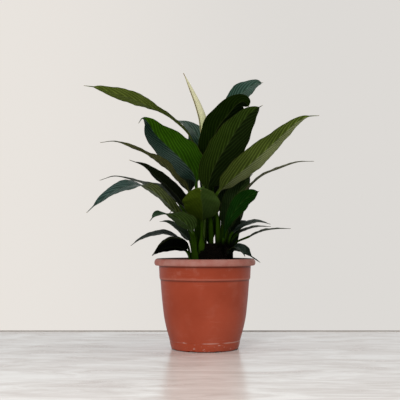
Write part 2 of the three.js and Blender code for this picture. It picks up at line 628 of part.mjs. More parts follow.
// The spadix: a blunt club with staggered rows of knobs, on the end of the stalk.
function makeSpadix() {
  const curve = spineCurve(FLOWER.spine);
  const { start, end, radius, knob, sides, steps } = FLOWER.spadix;
  const shares = evenShares(start, end, steps);
  const radiusAt = (share, side) => {
    const grown = (share - start) / (end - start);
    const row = Math.round(grown * steps);
    const taper = 1 - 0.75 * smooth(0.75, 1, grown) - 0.3 * (1 - smooth(0, 0.2, grown));
    return (radius + ((row + side) % 2 ? knob : -knob)) * taper;
  };
  return piece('flower_spadix', bar(curve, shares, sides, radiusAt), 'spadix');
}

// ---------------------------------------------------------------- build

const plant = new THREE.Group();
plant.add(makePot(), makeSoil(), makeStalk(), makeSpathe(), makeSpadix());
for (const [name, leaf] of Object.entries(LEAVES)) {
  plant.add(piece(name, leafGeometry(leaf), 'leaf'));
}

export default plant;
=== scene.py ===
# A potted peace lily on a pale floor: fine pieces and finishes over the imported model.
# Metres, +Z up, the pot stands on Z = 0 and the plant's front faces -Y.
# Sizes in the dictionaries below are millimetres.

import math

import bmesh
import bpy
import numpy as np
from mathutils import Matrix, Vector


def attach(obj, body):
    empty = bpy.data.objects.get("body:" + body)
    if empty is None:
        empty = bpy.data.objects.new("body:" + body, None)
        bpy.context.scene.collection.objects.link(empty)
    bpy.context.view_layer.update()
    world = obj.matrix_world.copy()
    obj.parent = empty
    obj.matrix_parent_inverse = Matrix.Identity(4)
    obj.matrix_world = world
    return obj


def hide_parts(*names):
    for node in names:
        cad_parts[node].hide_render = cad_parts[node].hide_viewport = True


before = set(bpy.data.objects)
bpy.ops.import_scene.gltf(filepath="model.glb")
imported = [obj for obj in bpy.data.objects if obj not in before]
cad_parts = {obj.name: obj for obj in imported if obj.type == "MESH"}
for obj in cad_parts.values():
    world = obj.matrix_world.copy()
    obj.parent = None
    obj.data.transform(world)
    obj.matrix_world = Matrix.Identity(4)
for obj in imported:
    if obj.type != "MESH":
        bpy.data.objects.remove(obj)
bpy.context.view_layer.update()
scene = bpy.context.scene
scene.view_settings.view_transform = "Standard"
mm = 0.001

# settings and inputs that many shader nodes share
times, timesPlus = {"operation": "MULTIPLY"}, {"operation": "MULTIPLY_ADD"}
softly, colours = {"interpolation_type": "SMOOTHSTEP"}, {"data_type": "RGBA"}
rampEnds = ("From Min", "From Max", "To Min", "To Max")


# ---- small tools

def linear(hexColour):  # an sRGB hex colour as linear numbers
    shares = [int(hexColour[at:at + 2], 16) / 255 for at in (1, 3, 5)]
    return [s / 12.92 if s <= 0.04045 else ((s + 0.055) / 1.055) ** 2.4 for s in shares] + [1]


def feed(node, inputs):  # inputs are values, sockets, or nodes that give their first output
    for name, value in inputs.items():
        if isinstance(value, bpy.types.Node):
            value = value.outputs[0]
        if isinstance(value, bpy.types.NodeSocket):
            node.id_data.links.new(value, node.inputs[name])
        else:
            node.inputs[name].default_value = value


def addNode(tree, kind, settings=None, inputs=None):
    node = tree.nodes.new(kind)
    for name, value in (settings or {}).items():
        setattr(node, name, value)
    feed(node, inputs or {})
    return node


def newMaterial(name):
    material = bpy.data.materials.new(name)
    material.use_nodes = True
    return material, material.node_tree, material.node_tree.nodes["Principled BSDF"]


def meshPiece(name, points, faces, materials):  # points in metres
    mesh = bpy.data.meshes.new(name)
    mesh.from_pydata(np.asarray(points).tolist(), [], [list(face) for face in faces])
    for material in materials:
        mesh.materials.append(material)
    mesh.polygons.foreach_set("use_smooth", np.ones(len(mesh.polygons), bool))
    piece = bpy.data.objects.new(name, mesh)
    scene.collection.objects.link(piece)
    return piece


def settled(piece):  # the piece as its modifiers leave it, without them
    graph = bpy.context.evaluated_depsgraph_get()
    mesh = bpy.data.meshes.new_from_object(piece.evaluated_get(graph))
    piece.modifiers.clear()
    rough, piece.data = piece.data, mesh
    bpy.data.meshes.remove(rough)
    return piece


def grow(piece, tree, values):  # runs a Geometry Nodes tree on the piece and keeps the result
    modifier = piece.modifiers.new("grow", "NODES")
    modifier.node_group = tree
    for item in tree.interface.items_tree:
        if item.item_type == "SOCKET" and item.in_out == "INPUT" and item.name in values:
            modifier[item.identifier] = values[item.name]
    return settled(piece)


def treeWith(name, sizes):  # a Geometry Nodes tree with a named input for each size
    tree = bpy.data.node_groups.new(name, "GeometryNodeTree")
    tree.interface.new_socket("Geometry", in_out="INPUT", socket_type="NodeSocketGeometry")
    tree.interface.new_socket("Geometry", in_out="OUTPUT", socket_type="NodeSocketGeometry")
    for size, kind in sizes.items():
        tree.interface.new_socket(size, in_out="INPUT", socket_type="NodeSocket" + kind)
    return tree, addNode(tree, "NodeGroupInput").outputs


def addMap(mesh, name, places):  # a UV map from each ring's places, the same on both faces
    places = np.concatenate([places, places], axis=1).reshape(-1, 2)
    corners = np.empty(len(mesh.loops), np.int32)
    mesh.loops.foreach_get("vertex_index", corners)
    mesh.uv_layers.new(name=name).data.foreach_set("uv", places[corners].ravel().astype(np.float32))


def closeTree(tree, scattered, kept, material):  # real geometry, beside what is kept
    real = addNode(tree, "GeometryNodeRealizeInstances", inputs={0: scattered})
    both = addNode(tree, "GeometryNodeJoinGeometry")
    for part in (real, kept):
        feed(both, {0: part})
    done = addNode(tree, "GeometryNodeSetMaterial", inputs={"Geometry": both, "Material": material})
    addNode(tree, "NodeGroupOutput", inputs={0: done})
    return tree


def place(piece, slot, *nodes):  # on the fixed body, in a node's stead
    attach(piece, "root")
    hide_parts(*nodes)


def smooth(low, high, value):
    share = np.clip((value - low) / (high - low), 0, 1)
    return share * share * (3 - 2 * share)


def mix(a, b, share):
    return a + (b - a) * share


def unit(vectors):
    return vectors / np.linalg.norm(vectors, axis=-1, keepdims=True)


def curvePoint(points, t):  # a centripetal curve through the points
    last = len(points) - 1
    at = np.minimum((t * last).astype(int), last - 1)
    w = (t * last - at)[:, None]
    spread = np.vstack([2 * points[0] - points[1], points, 2 * points[-1] - points[-2]])
    p0, p1, p2, p3 = (spread[at + step] for step in range(4))
    d0, d1, d2 = (np.sqrt(np.linalg.norm(b - a, axis=1))[:, None]
                  for a, b in ((p0, p1), (p1, p2), (p2, p3)))
    t1 = ((p1 - p0) / d0 - (p2 - p0) / (d0 + d1) + (p2 - p1) / d1) * d1
    t2 = ((p2 - p1) / d1 - (p3 - p1) / (d1 + d2) + (p3 - p2) / d2) * d1
    return (p1 + t1 * w + (3 * (p2 - p1) - 2 * t1 - t2) * w ** 2
            + (2 * (p1 - p2) + t1 + t2) * w ** 3)


def spineLength(spine):
    steps = curvePoint(np.array(spine, float), np.linspace(0, 1, 201))
    return np.linalg.norm(np.diff(steps, axis=0), axis=1).sum()


def alongSpine(spine, shares):  # places and directions at shares of the spine's length
    points = np.array(spine, float)
    steps = curvePoint(points, np.linspace(0, 1, 201))
    run = np.concatenate([[0], np.cumsum(np.linalg.norm(np.diff(steps, axis=0), axis=1))])
    t = np.interp(shares * run[-1], run, np.linspace(0, 1, 201))
    ahead, behind = np.minimum(t + 1e-4, 1), np.maximum(t - 1e-4, 0)
    return curvePoint(points, t), unit(curvePoint(points, ahead) - curvePoint(points, behind))


def skinFaces(rings, half):  # rings of 2 * half points, the upper face first, as one closed skin
    upper = np.arange(rings)[:, None] * 2 * half + np.arange(half)
    lower = upper + half

    def strip(a, b, c, d):
        return np.stack([a, b, c, d], axis=-1).reshape(-1, 4)

    top = strip(upper[:-1, :-1], upper[1:, :-1], upper[1:, 1:], upper[:-1, 1:])
    bottom = strip(lower[:-1, :-1], lower[:-1, 1:], lower[1:, 1:], lower[1:, :-1])
    sides = np.vstack([
        strip(upper[:-1, 0], lower[:-1, 0], lower[1:, 0], upper[1:, 0]),
        strip(lower[:-1, -1], upper[:-1, -1], upper[1:, -1], lower[1:, -1]),
        strip(upper[0, :-1], upper[0, 1:], lower[0, 1:], lower[0, :-1]),
        strip(upper[-1, 1:], upper[-1, :-1], lower[-1, :-1], lower[-1, 1:]),
    ])
    return top, bottom, sides


# ---- camera

view = {"place": (-8.2, -1397, 180), "lens": 74.7, "tilt": 2.79}

cameraData = bpy.data.cameras.new("camera")
cameraData.lens = view["lens"]
cameraData.sensor_width = 36
cameraData.sensor_fit = "HORIZONTAL"
cameraObject = bpy.data.objects.new("camera", cameraData)
cameraObject.location = [side * mm for side in view["place"]]
cameraObject.rotation_euler = (math.radians(90 + view["tilt"]), 0, 0)
scene.collection.objects.link(cameraObject)
scene.camera = cameraObject


# ---- studio: a pale floor that ends a hand's breadth behind the pot, and soft light

studio = {
    "wallLeft": "#e9e4de", "wallRight": "#dddad6", "floorBack": 260, "floorReach": 4000,
    "floorPale": "#f4f0ec", "floorGrey": "#cdc3bd", "gap": 1.6,
    "skyTop": "#fffdf8", "skyBack": "#e2e6ea", "skyFront": "#2c2c2c", "skyStrength": 0.85,
    "keyPlace": (-420, -1500, 520), "keySize": 600, "keyPower": 14,
    "fillPlace": (650, -100, 1500), "fillSize": 700, "fillPower": 2, "aim": 250,
    "veinTurn": 0.75, "veinStretch": 3.4, "veinScale": 7, "joint": "#9a948e",
}

world = bpy.data.worlds.new("studio")
world.use_nodes = True
scene.world = world
sky = world.node_tree
way = addNode(sky, "ShaderNodeSeparateXYZ", inputs={
    0: addNode(sky, "ShaderNodeTexCoord").outputs["Generated"]}).outputs
shade = linear(studio["skyFront"])
for axis, low, high, colour in (("Y", -0.2, 0.7, "skyBack"), ("Z", 0.1, 0.9, "skyTop")):
    share = addNode(sky, "ShaderNodeMapRange", softly, {
        "Value": way[axis], "From Min": low, "From Max": high})
    shade = addNode(sky, "ShaderNodeMix", colours, {
        0: share, 6: shade, 7: linear(studio[colour])}).outputs[2]
glow = addNode(sky, "ShaderNodeBackground",
               inputs={"Color": shade, "Strength": studio["skyStrength"]})
aside = addNode(sky, "ShaderNodeMapRange", softly, {
    "Value": way["X"], "From Min": -0.25, "From Max": 0.15})
plaster = addNode(sky, "ShaderNodeMix", colours, {
    0: aside, 6: linear(studio["wallLeft"]), 7: linear(studio["wallRight"])}).outputs[2]
wall = addNode(sky, "ShaderNodeBackground", inputs={"Color": plaster})
seen = addNode(sky, "ShaderNodeLightPath").outputs["Is Camera Ray"]
lit = addNode(sky, "ShaderNodeMixShader", inputs={0: seen, 1: glow, 2: wall})
feed(sky.nodes["World Output"], {"Surface": lit})

for name in ("key", "fill"):
    lampData = bpy.data.lights.new(name, "AREA")
    lampData.size = studio[name + "Size"] * mm
    lampData.energy = studio[name + "Power"]
    lamp = bpy.data.objects.new(name, lampData)
    lamp.location = [side * mm for side in studio[name + "Place"]]
    away = lamp.location - Vector((0, 0, studio["aim"] * mm))
    lamp.rotation_euler = away.to_track_quat("Z", "Y").to_euler()
    lamp.visible_glossy = False  # or the floor mirrors it as a white patch
    scene.collection.objects.link(lamp)

# polished marble: pale, with drawn-out pinkish grey clouds and a soft mirror image
floorFinish, tree, shader = newMaterial("polishedMarble")
spot = addNode(tree, "ShaderNodeTexCoord").outputs["Object"]
drawn = addNode(tree, "ShaderNodeMapping", inputs={
    "Vector": spot, "Rotation": (0, 0, studio["veinTurn"]),
    "Scale": (1, studio["veinStretch"], 1)})
clouds = addNode(tree, "ShaderNodeTexNoise", inputs={
    "Vector": drawn, "Scale": studio["veinScale"], "Detail": 8, "Roughness": 0.68,
    "Distortion": 0.9})
share = addNode(tree, "ShaderNodeMapRange", inputs={
    "Value": clouds, "From Min": 0.36, "From Max": 0.62})
tint = addNode(tree, "ShaderNodeMix", colours, {
    0: share, 6: linear(studio["floorGrey"]), 7: linear(studio["floorPale"])}).outputs[2]
worn = addNode(tree, "ShaderNodeMapRange", inputs={
    "Value": clouds, "From Min": 0.3, "From Max": 0.7, "To Min": 0.3, "To Max": 0.16})
feed(shader, {"Base Color": tint, "Roughness": worn})
gapFinish, _, gapShader = newMaterial("dustyGap")  # the open joint between floor and wall
feed(gapShader, {"Base Color": linear(studio["joint"]), "Roughness": 0.9})
reach, back, gap = (studio[key] * mm for key in ("floorReach", "floorBack", "gap"))
floor = meshPiece("floor", [(-reach, -reach, 0), (reach, -reach, 0), (reach, back, 0),
                            (-reach, back, 0), (reach, back, gap), (-reach, back, gap)],
                  [(0, 1, 2, 3), (3, 2, 4, 5)], [floorFinish, gapFinish])
floor.data.polygons[1].material_index = 1
floor.data.set_sharp_from_angle(angle=math.radians(30))
print("camera, light and floor set")


# ---- pot

pot = {
    "segments": 160, "cornerSteps": 3, "floor": 6,
    "outside": [  # radius, height and rounding of each corner
        (55.5, 0, 1), (57.7, 7, 4), (58.7, 13, 0.2), (58.4, 13.5, 0.2), (59.1, 14.4, 0.2),
        (59.5, 17, 3), (63.9, 32, 6), (68.3, 52, 10), (71.8, 83, 12), (74.3, 114.4, 0.4),
        (76, 117, 0.9), (77, 138.3, 0.8), (83, 138.5, 0.8), (85, 142, 1.8), (84.3, 146.4, 1.6),
        (82, 149.2, 1.2), (79.8, 150, 0.8)],
    "inside": [(76.6, 148.5, 0.8), (75, 142, 3), (72.3, 116, 3), (69.8, 83, 12), (66.3, 52, 10),
               (61.9, 32, 6), (57.3, 17, 3), (55.5, 8, 1), (53, 6, 1)],
    "underside": [(16, 0, 0.3), (17, 2, 0.5), (47, 2, 0.5), (48, 0, 0.3)],
    "drains": {"count": 6, "radius": 5, "circle": 34, "sides": 32, "depth": 24},
    "notches": {"count": 8, "width": 12, "depth": 1.6, "length": 16, "circle": 51.75},
    "flex": 0.18, "free": (15, 60, 112, 118),  # how far the wall strays from round, and where
}


def roundedProfile(corners, steps):  # each corner becomes a short curve
    points = []
    for number in range(1, len(corners) - 1):
        here = np.array(corners[number][:2], float)
        back = np.array(corners[number - 1][:2], float) - here
        ahead = np.array(corners[number + 1][:2], float) - here
        reach = min(corners[number][2], 0.45 * np.linalg.norm(back), 0.45 * np.linalg.norm(ahead))
        start, end = here + unit(back) * reach, here + unit(ahead) * reach
        for share in np.linspace(0, 1, steps + 1):
            points.append((1 - share) ** 2 * start + 2 * share * (1 - share) * here
                          + share ** 2 * end)
    return [np.array(corners[0][:2], float), *points, np.array(corners[-1][:2], float)]


def wholeTurn(count):  # that many angles round the axis
    return np.arange(count) * 2 * math.pi / count


def circle(radius, z, turn):
    return np.stack([radius * np.cos(turn), radius * np.sin(turn), z + 0 * turn], 1)


def closedRings(low, rings, high):  # stacked rings of points, closed by a point at each end
    points = np.vstack([[low], *rings, [high]])
    segments = len(rings[0])
    last = 1 + (len(rings) - 1) * segments
    faces = []
    for step in range(segments):
        after = (step + 1) % segments
        faces.append((0, 1 + after, 1 + step))
        for here in range(1, last, segments):
            above = here + segments
            faces.append((here + step, here + after, above + after, above + step))
        faces.append((len(points) - 1, last + step, last + after))
    return points, faces


def cutter(name, build):  # a closed shape that a boolean takes away
    shape = bmesh.new()
    build(shape)
    mesh = bpy.data.meshes.new(name)
    shape.to_mesh(mesh)
    shape.free()
    piece = bpy.data.objects.new(name, mesh)
    scene.collection.objects.link(piece)
    return piece


def drainDrills(shape):
    drains = pot["drains"]
    radius, away = drains["radius"] * mm, drains["circle"] * mm
    for turn in wholeTurn(drains["count"]):
        drill = bmesh.ops.create_cone(shape, cap_ends=True, segments=drains["sides"],
                                      depth=drains["depth"] * mm, radius1=radius, radius2=radius)
        bmesh.ops.translate(shape, verts=drill["verts"],
                            vec=(away * math.cos(turn), away * math.sin(turn), 0))


def footNotches(shape):
    notches = pot["notches"]
    for notch in range(notches["count"]):
        turn = 2 * math.pi * (notch + 0.5) / notches["count"]
        block = bmesh.ops.create_cube(shape, size=1)["verts"]
        bmesh.ops.scale(shape, verts=block, vec=[
            notches["length"] * mm, notches["width"] * mm, 2 * notches["depth"] * mm])
        bmesh.ops.translate(shape, verts=block, vec=(notches["circle"] * mm, 0, 0))
        bmesh.ops.rotate(shape, verts=block, matrix=Matrix.Rotation(turn, 3, "Z"))


# injection-moulded polypropylene, dyed terracotta: a satin skin with a chalky lime bloom on the
# rim, fine rubbed lines round the wall and pale scuffs at the foot
# painted shade under the rim, under the collar ledge, on the inner wall above the peat and round
# the very foot, and a painted highlight along the collar ledge
potSkin = {
    "dye": "#953a20",
    # each noise: scale, detail, roughness and how far it is pressed flat
    "noises": {
        "cloud": (9, 3, 0.55, 1), "patches": (45, 5, 0.6, 1), "bloom": (38, 5, 0.6, 1),
        "threads": (22, 3, 0.6, 60), "rubs": (14, 2, 0.55, 1), "scuffs": (120, 4, 0.65, 2.5),
        "grains": (700, 2, 0.55, 1), "nicks": (30, 3, 0.55, 1), "wear": (160, 4, 0.55, 1),
        "grain": (900, 3, 0.55, 1), "tooling": (16, 4, 0.6, 45)},
    # each layer over the dye, from the lowest up: its colour and strength, and the ramps that
    # bound it, from and to which height, radius (in metres) or noise, and their ends if not 0 to 1
    "layers": {
        "paleDye": ("#a4452b", 1, ("cloud", 0.35, 0.65)),
        "wallBloom": ("#c08170", 1, ("z", 0.1, 0.135, 0.08, 0.3), ("patches", 0.5, 0.72)),
        "rimBloom": ("#b0877f", 1, ("z", 0.1375, 0.1405), ("bloom", 0.3, 0.62, 0.3, 0.7)),
        "rubbedLines": ("#d9a596", 0.3, ("threads", 0.6, 0.74), ("rubs", 0.45, 0.62)),
        "foot": ("#e0cfc6", 0.6, ("z", 0.019, 0.012), ("scuffs", 0.6, 0.7)),
        "specks": ("#7c3527", 0.25, ("grains", 0.68, 0.76)),
        # painted highlight: a pale line along the lower edge of the collar
        "paintedLedgeHighlight": ("#d8a090", 0.14, ("z", 0.1158, 0.1166), ("z", 0.1196, 0.1178)),
        "footLip": ("#e6d2c8", 0.36, ("z", 0.0132, 0.0140), ("z", 0.0156, 0.0148),
                    ("nicks", 0.42, 0.6)),
        # painted contact shadow: the wall darkens towards the floor over its last two millimetres
        "paintedContactShadow": ("#34140d", 1, ("z", 0.0022, 0.0008, 0, 0.75)),
        # painted shade: a dark band under the rim's overhang
        "paintedShadeUnderRim": ("#4a1d14", 1, ("z", 0.1335, 0.1383, 0, 0.7), ("z", 0.1387, 0.1383)),
        # painted shade: a dark band under the collar ledge
        "paintedShadeUnderLedge": ("#4a1d14", 1, ("z", 0.1115, 0.1155, 0, 0.7), ("z", 0.1159, 0.1155)),
        # painted shade on the inner wall above the peat, which the camera sees over the front rim
        "paintedShadeInside": ("#24120c", 0.85, ("radius", 0.0812, 0.0796), ("z", 0.1405, 0.1415))},
    "satin": 0.4, "chalky": 0.72, "wear": 0.16,
}


def polypropylene():
    material, tree, shader = newMaterial("polypropylene")
    spot = addNode(tree, "ShaderNodeTexCoord").outputs["Object"]
    flatSpot = addNode(tree, "ShaderNodeVectorMath", times, {0: spot, 1: (1, 1, 0)})
    values = {
        "z": addNode(tree, "ShaderNodeSeparateXYZ", inputs={0: spot}).outputs["Z"],
        "radius": addNode(tree, "ShaderNodeVectorMath", {"operation": "LENGTH"}, {
            0: flatSpot}).outputs["Value"],
    }
    for name, (scale, detail, rough, pressed) in potSkin["noises"].items():
        drawn = addNode(tree, "ShaderNodeMapping", inputs={
            "Vector": spot, "Scale": (1, 1, pressed)})
        values[name] = addNode(tree, "ShaderNodeTexNoise", inputs={
            "Vector": drawn, "Scale": scale, "Detail": detail, "Roughness": rough})
    paint, masks = linear(potSkin["dye"]), {}
    for name, (colour, strength, *ramps) in potSkin["layers"].items():
        mask = 1
        for value, *ends in ramps:
            share = addNode(tree, "ShaderNodeMapRange", softly, {
                "Value": values[value], **dict(zip(rampEnds, ends))})
            mask = addNode(tree, "ShaderNodeMath", times, {0: mask, 1: share})
        masks[name] = mask
        share = addNode(tree, "ShaderNodeMath", times, {0: mask, 1: strength})
        paint = addNode(tree, "ShaderNodeMix", colours, {
            0: share, 6: paint, 7: linear(colour)}).outputs[2]
    dull = addNode(tree, "ShaderNodeMath", {"operation": "MAXIMUM"}, {
        0: masks["rimBloom"], 1: masks["foot"]})
    rough = addNode(tree, "ShaderNodeMapRange", inputs={
        "Value": dull, "To Min": potSkin["satin"], "To Max": potSkin["chalky"]})
    worn = addNode(tree, "ShaderNodeMath", timesPlus, {
        0: values["wear"], 1: potSkin["wear"], 2: rough})
    grain = addNode(tree, "ShaderNodeBump", inputs={
        "Height": values["grain"], "Strength": 0.25, "Distance": 0.12 * mm})
    tooling = addNode(tree, "ShaderNodeBump", inputs={
        "Height": values["tooling"], "Strength": 0.3, "Distance": 0.25 * mm,
        "Normal": grain})
    feed(shader, {"Base Color": paint, "Roughness": worn, "Normal": tooling,
                  "IOR": 1.49, "Specular IOR Level": 0.35})
    return material


def flexed(turn, z):  # the wall is a little out of round, most where it is free
    low, risen, falling, high = pot["free"]
    free = smooth(low, risen, z) * (1 - smooth(falling, high, z))
    return pot["flex"] * free * (np.sin(2 * turn + 0.6) + 0.6 * np.sin(3 * turn + z / 24))


profile = roundedProfile([(0, 0), *pot["underside"], *pot["outside"], *pot["inside"],
                          (0, pot["floor"])], pot["cornerSteps"])
turn = wholeTurn(pot["segments"])
points, faces = closedRings((0, *profile[0]), [
    circle(radius + flexed(turn, z), z, turn) for radius, z in profile[1:-1]], (0, *profile[-1]))
potPiece = meshPiece("potShell", points * mm, faces, [polypropylene()])
for name, build in (("drainDrills", drainDrills), ("footNotches", footNotches)):
    tool = cutter(name, build)
    cut = potPiece.modifiers.new(name, "BOOLEAN")
    cut.operation, cut.solver, cut.object = "DIFFERENCE", "EXACT", tool
settled(potPiece)
for name in ("drainDrills", "footNotches"):
    bpy.data.objects.remove(bpy.data.objects[name])
potPiece.data.set_sharp_from_angle(angle=math.radians(40))
place(potPiece, "pot_plastic", "pot")
print("pot:", len(potPiece.data.polygons), "faces")


# ---- peat

peat = {
    "wallHeight": 142, "mouth": 74.4, "plug": (11, 4), "plugRadius": 29, "flank": 12,
    "plugHeight": 173, "ragged": 2.2, "crumbliness": 1.1, "segments": 200, "rings": 64,
    "seeds": {"ragged": 7, "crumbly": 3, "crumbs": 41},
    "wall": [(0, 6.4), (54.2, 6.4), (56.5, 17), (61.1, 32), (65.5, 52), (69, 83), (71.5, 116)],
    # lumps: length, height and how many waves
    "lumps": [(26, 0.5, 5), (11, 0.35, 9), (5.2, 0.25, 14), (2.9, 0.16, 18)],
    "looseAbove": 135, "looseWithin": 72,
    "crumbs": {"density": 0.22, "smallest": 0.7, "largest": 2.1,  # per square millimetre
               "dents": 1.6, "dent": 1.1, "spin": 6.28, "squat": (1.25, 0.95, 0.75)},
}


def lumps(x, y, seed):  # smooth random lumps, about 1 high
    random = np.random.default_rng(seed)
    total = np.zeros_like(x)
    for period, height, waves in peat["lumps"]:
        for _ in range(waves):
            turn, phase = random.uniform(0, 2 * math.pi, 2)
            pitch = 2 * math.pi / (period * random.uniform(0.75, 1.3))
            run = x * math.cos(turn) + y * math.sin(turn)
            total += height * np.sin(pitch * run + phase) / math.sqrt(waves)
    return total


def peatHeight(x, y):
    away = np.hypot(x - peat["plug"][0], y - peat["plug"][1])
    ragged = peat["ragged"] * lumps(x, y, peat["seeds"]["ragged"])
    flank = 1 - smooth(peat["plugRadius"] - peat["flank"] / 2 + ragged,
                       peat["plugRadius"] + peat["flank"] + ragged, away)
    return peat["wallHeight"] + (peat["plugHeight"] - peat["wallHeight"]) * flank


# moist sphagnum peat: rough near-black brown crumbs that throw back almost no light
def moistPeat():
    material, tree, shader = newMaterial("moistPeat")
    spot = addNode(tree, "ShaderNodeTexCoord").outputs["Object"]
    coarse = addNode(tree, "ShaderNodeTexNoise", inputs={
        "Vector": spot, "Scale": 260, "Detail": 5, "Roughness": 0.65})
    fine = addNode(tree, "ShaderNodeTexVoronoi", inputs={"Vector": spot, "Scale": 620})
    shade = addNode(tree, "ShaderNodeMapRange", inputs={
        "Value": coarse, "From Min": 0.35, "From Max": 0.75})
    tint = addNode(tree, "ShaderNodeMix", colours, {
        0: shade, 6: linear("#060504"), 7: linear("#15110d")}).outputs[2]
    height = addNode(tree, "ShaderNodeMath", {"operation": "ADD"}, {0: coarse, 1: fine})
    bump = addNode(tree, "ShaderNodeBump", inputs={
        "Height": height, "Strength": 0.8, "Distance": 0.8 * mm})
    feed(shader, {"Base Color": tint, "Roughness": 0.95, "Specular IOR Level": 0.05,
                  "Normal": bump})
    return material


def crumbTree(material):  # loose crumbs scattered where the mesh says "loose"
    crumbs = peat["crumbs"]
    tree, given = treeWith("peatCrumbs", {"Density": "Float", "Smallest": "Float",
                                          "Largest": "Float", "Seed": "Int"})
    loose = addNode(tree, "GeometryNodeInputNamedAttribute", {"data_type": "FLOAT"}, {
        "Name": "loose"})
    density = addNode(tree, "ShaderNodeMath", times, {0: loose, 1: given["Density"]})
    seats = addNode(tree, "GeometryNodeDistributePointsOnFaces", {"distribute_method": "RANDOM"}, {
        "Mesh": given["Geometry"], "Density": density, "Seed": given["Seed"]})
    crumb = addNode(tree, "GeometryNodeMeshIcoSphere", inputs={"Radius": 1.0, "Subdivisions": 1})
    corner = addNode(tree, "GeometryNodeInputPosition")
    dent = addNode(tree, "ShaderNodeTexNoise", {"noise_dimensions": "3D"}, {
        "Vector": corner, "Scale": crumbs["dents"]}).outputs["Color"]
    pushed = addNode(tree, "ShaderNodeVectorMath", timesPlus, {
        0: dent, 1: [crumbs["dent"]] * 3, 2: [-crumbs["dent"] / 2] * 3})
    lump = addNode(tree, "GeometryNodeSetPosition", inputs={"Geometry": crumb, "Offset": pushed})
    size = addNode(tree, "FunctionNodeRandomValue", {"data_type": "FLOAT"}, {
        2: given["Smallest"], 3: given["Largest"], "Seed": given["Seed"]}).outputs[1]
    spin = addNode(tree, "FunctionNodeRandomValue", {"data_type": "FLOAT_VECTOR"}, {
        0: (0, 0, 0), 1: [crumbs["spin"]] * 3, "Seed": given["Seed"]})
    squat = addNode(tree, "ShaderNodeVectorMath", {"operation": "SCALE"}, {
        0: crumbs["squat"], "Scale": size})
    strewn = addNode(tree, "GeometryNodeInstanceOnPoints", inputs={
        "Points": seats, "Instance": lump, "Rotation": spin, "Scale": squat})
    return closeTree(tree, strewn, given["Geometry"], material)


turn = wholeTurn(peat["segments"])
rings = [circle(radius, z, turn) for radius, z in peat["wall"][1:]]
for ring in range(peat["rings"]):
    share = ring / peat["rings"]
    wide = peat["mouth"] * (1 - share)
    x, y = wide * np.cos(turn), wide * np.sin(turn)
    crumbly = peat["crumbliness"] * lumps(x, y, peat["seeds"]["crumbly"])
    rings.append(np.stack([x, y, peatHeight(x, y) + crumbly * min(1, 12 * share)], 1))
top = peatHeight(np.zeros(1), np.zeros(1))[0]
points, faces = closedRings((0, *peat["wall"][0]), rings, (0, 0, top))
peatFinish = moistPeat()
peatPiece = meshPiece("peatPlug", points * mm, faces, [peatFinish])
loose = peatPiece.data.attributes.new("loose", "FLOAT", "POINT")
away = np.hypot(points[:, 0], points[:, 1])
isLoose = (points[:, 2] > peat["looseAbove"]) & (away < peat["looseWithin"])
loose.data.foreach_set("value", isLoose.astype(np.float32))
crumbs = peat["crumbs"]
grow(peatPiece, crumbTree(peatFinish), {
    "Density": crumbs["density"] / mm ** 2, "Smallest": crumbs["smallest"] * mm,
    "Largest": crumbs["largest"] * mm, "Seed": peat["seeds"]["crumbs"]})
place(peatPiece, "peat", "soil")
print("peat:", len(peatPiece.data.polygons), "faces")
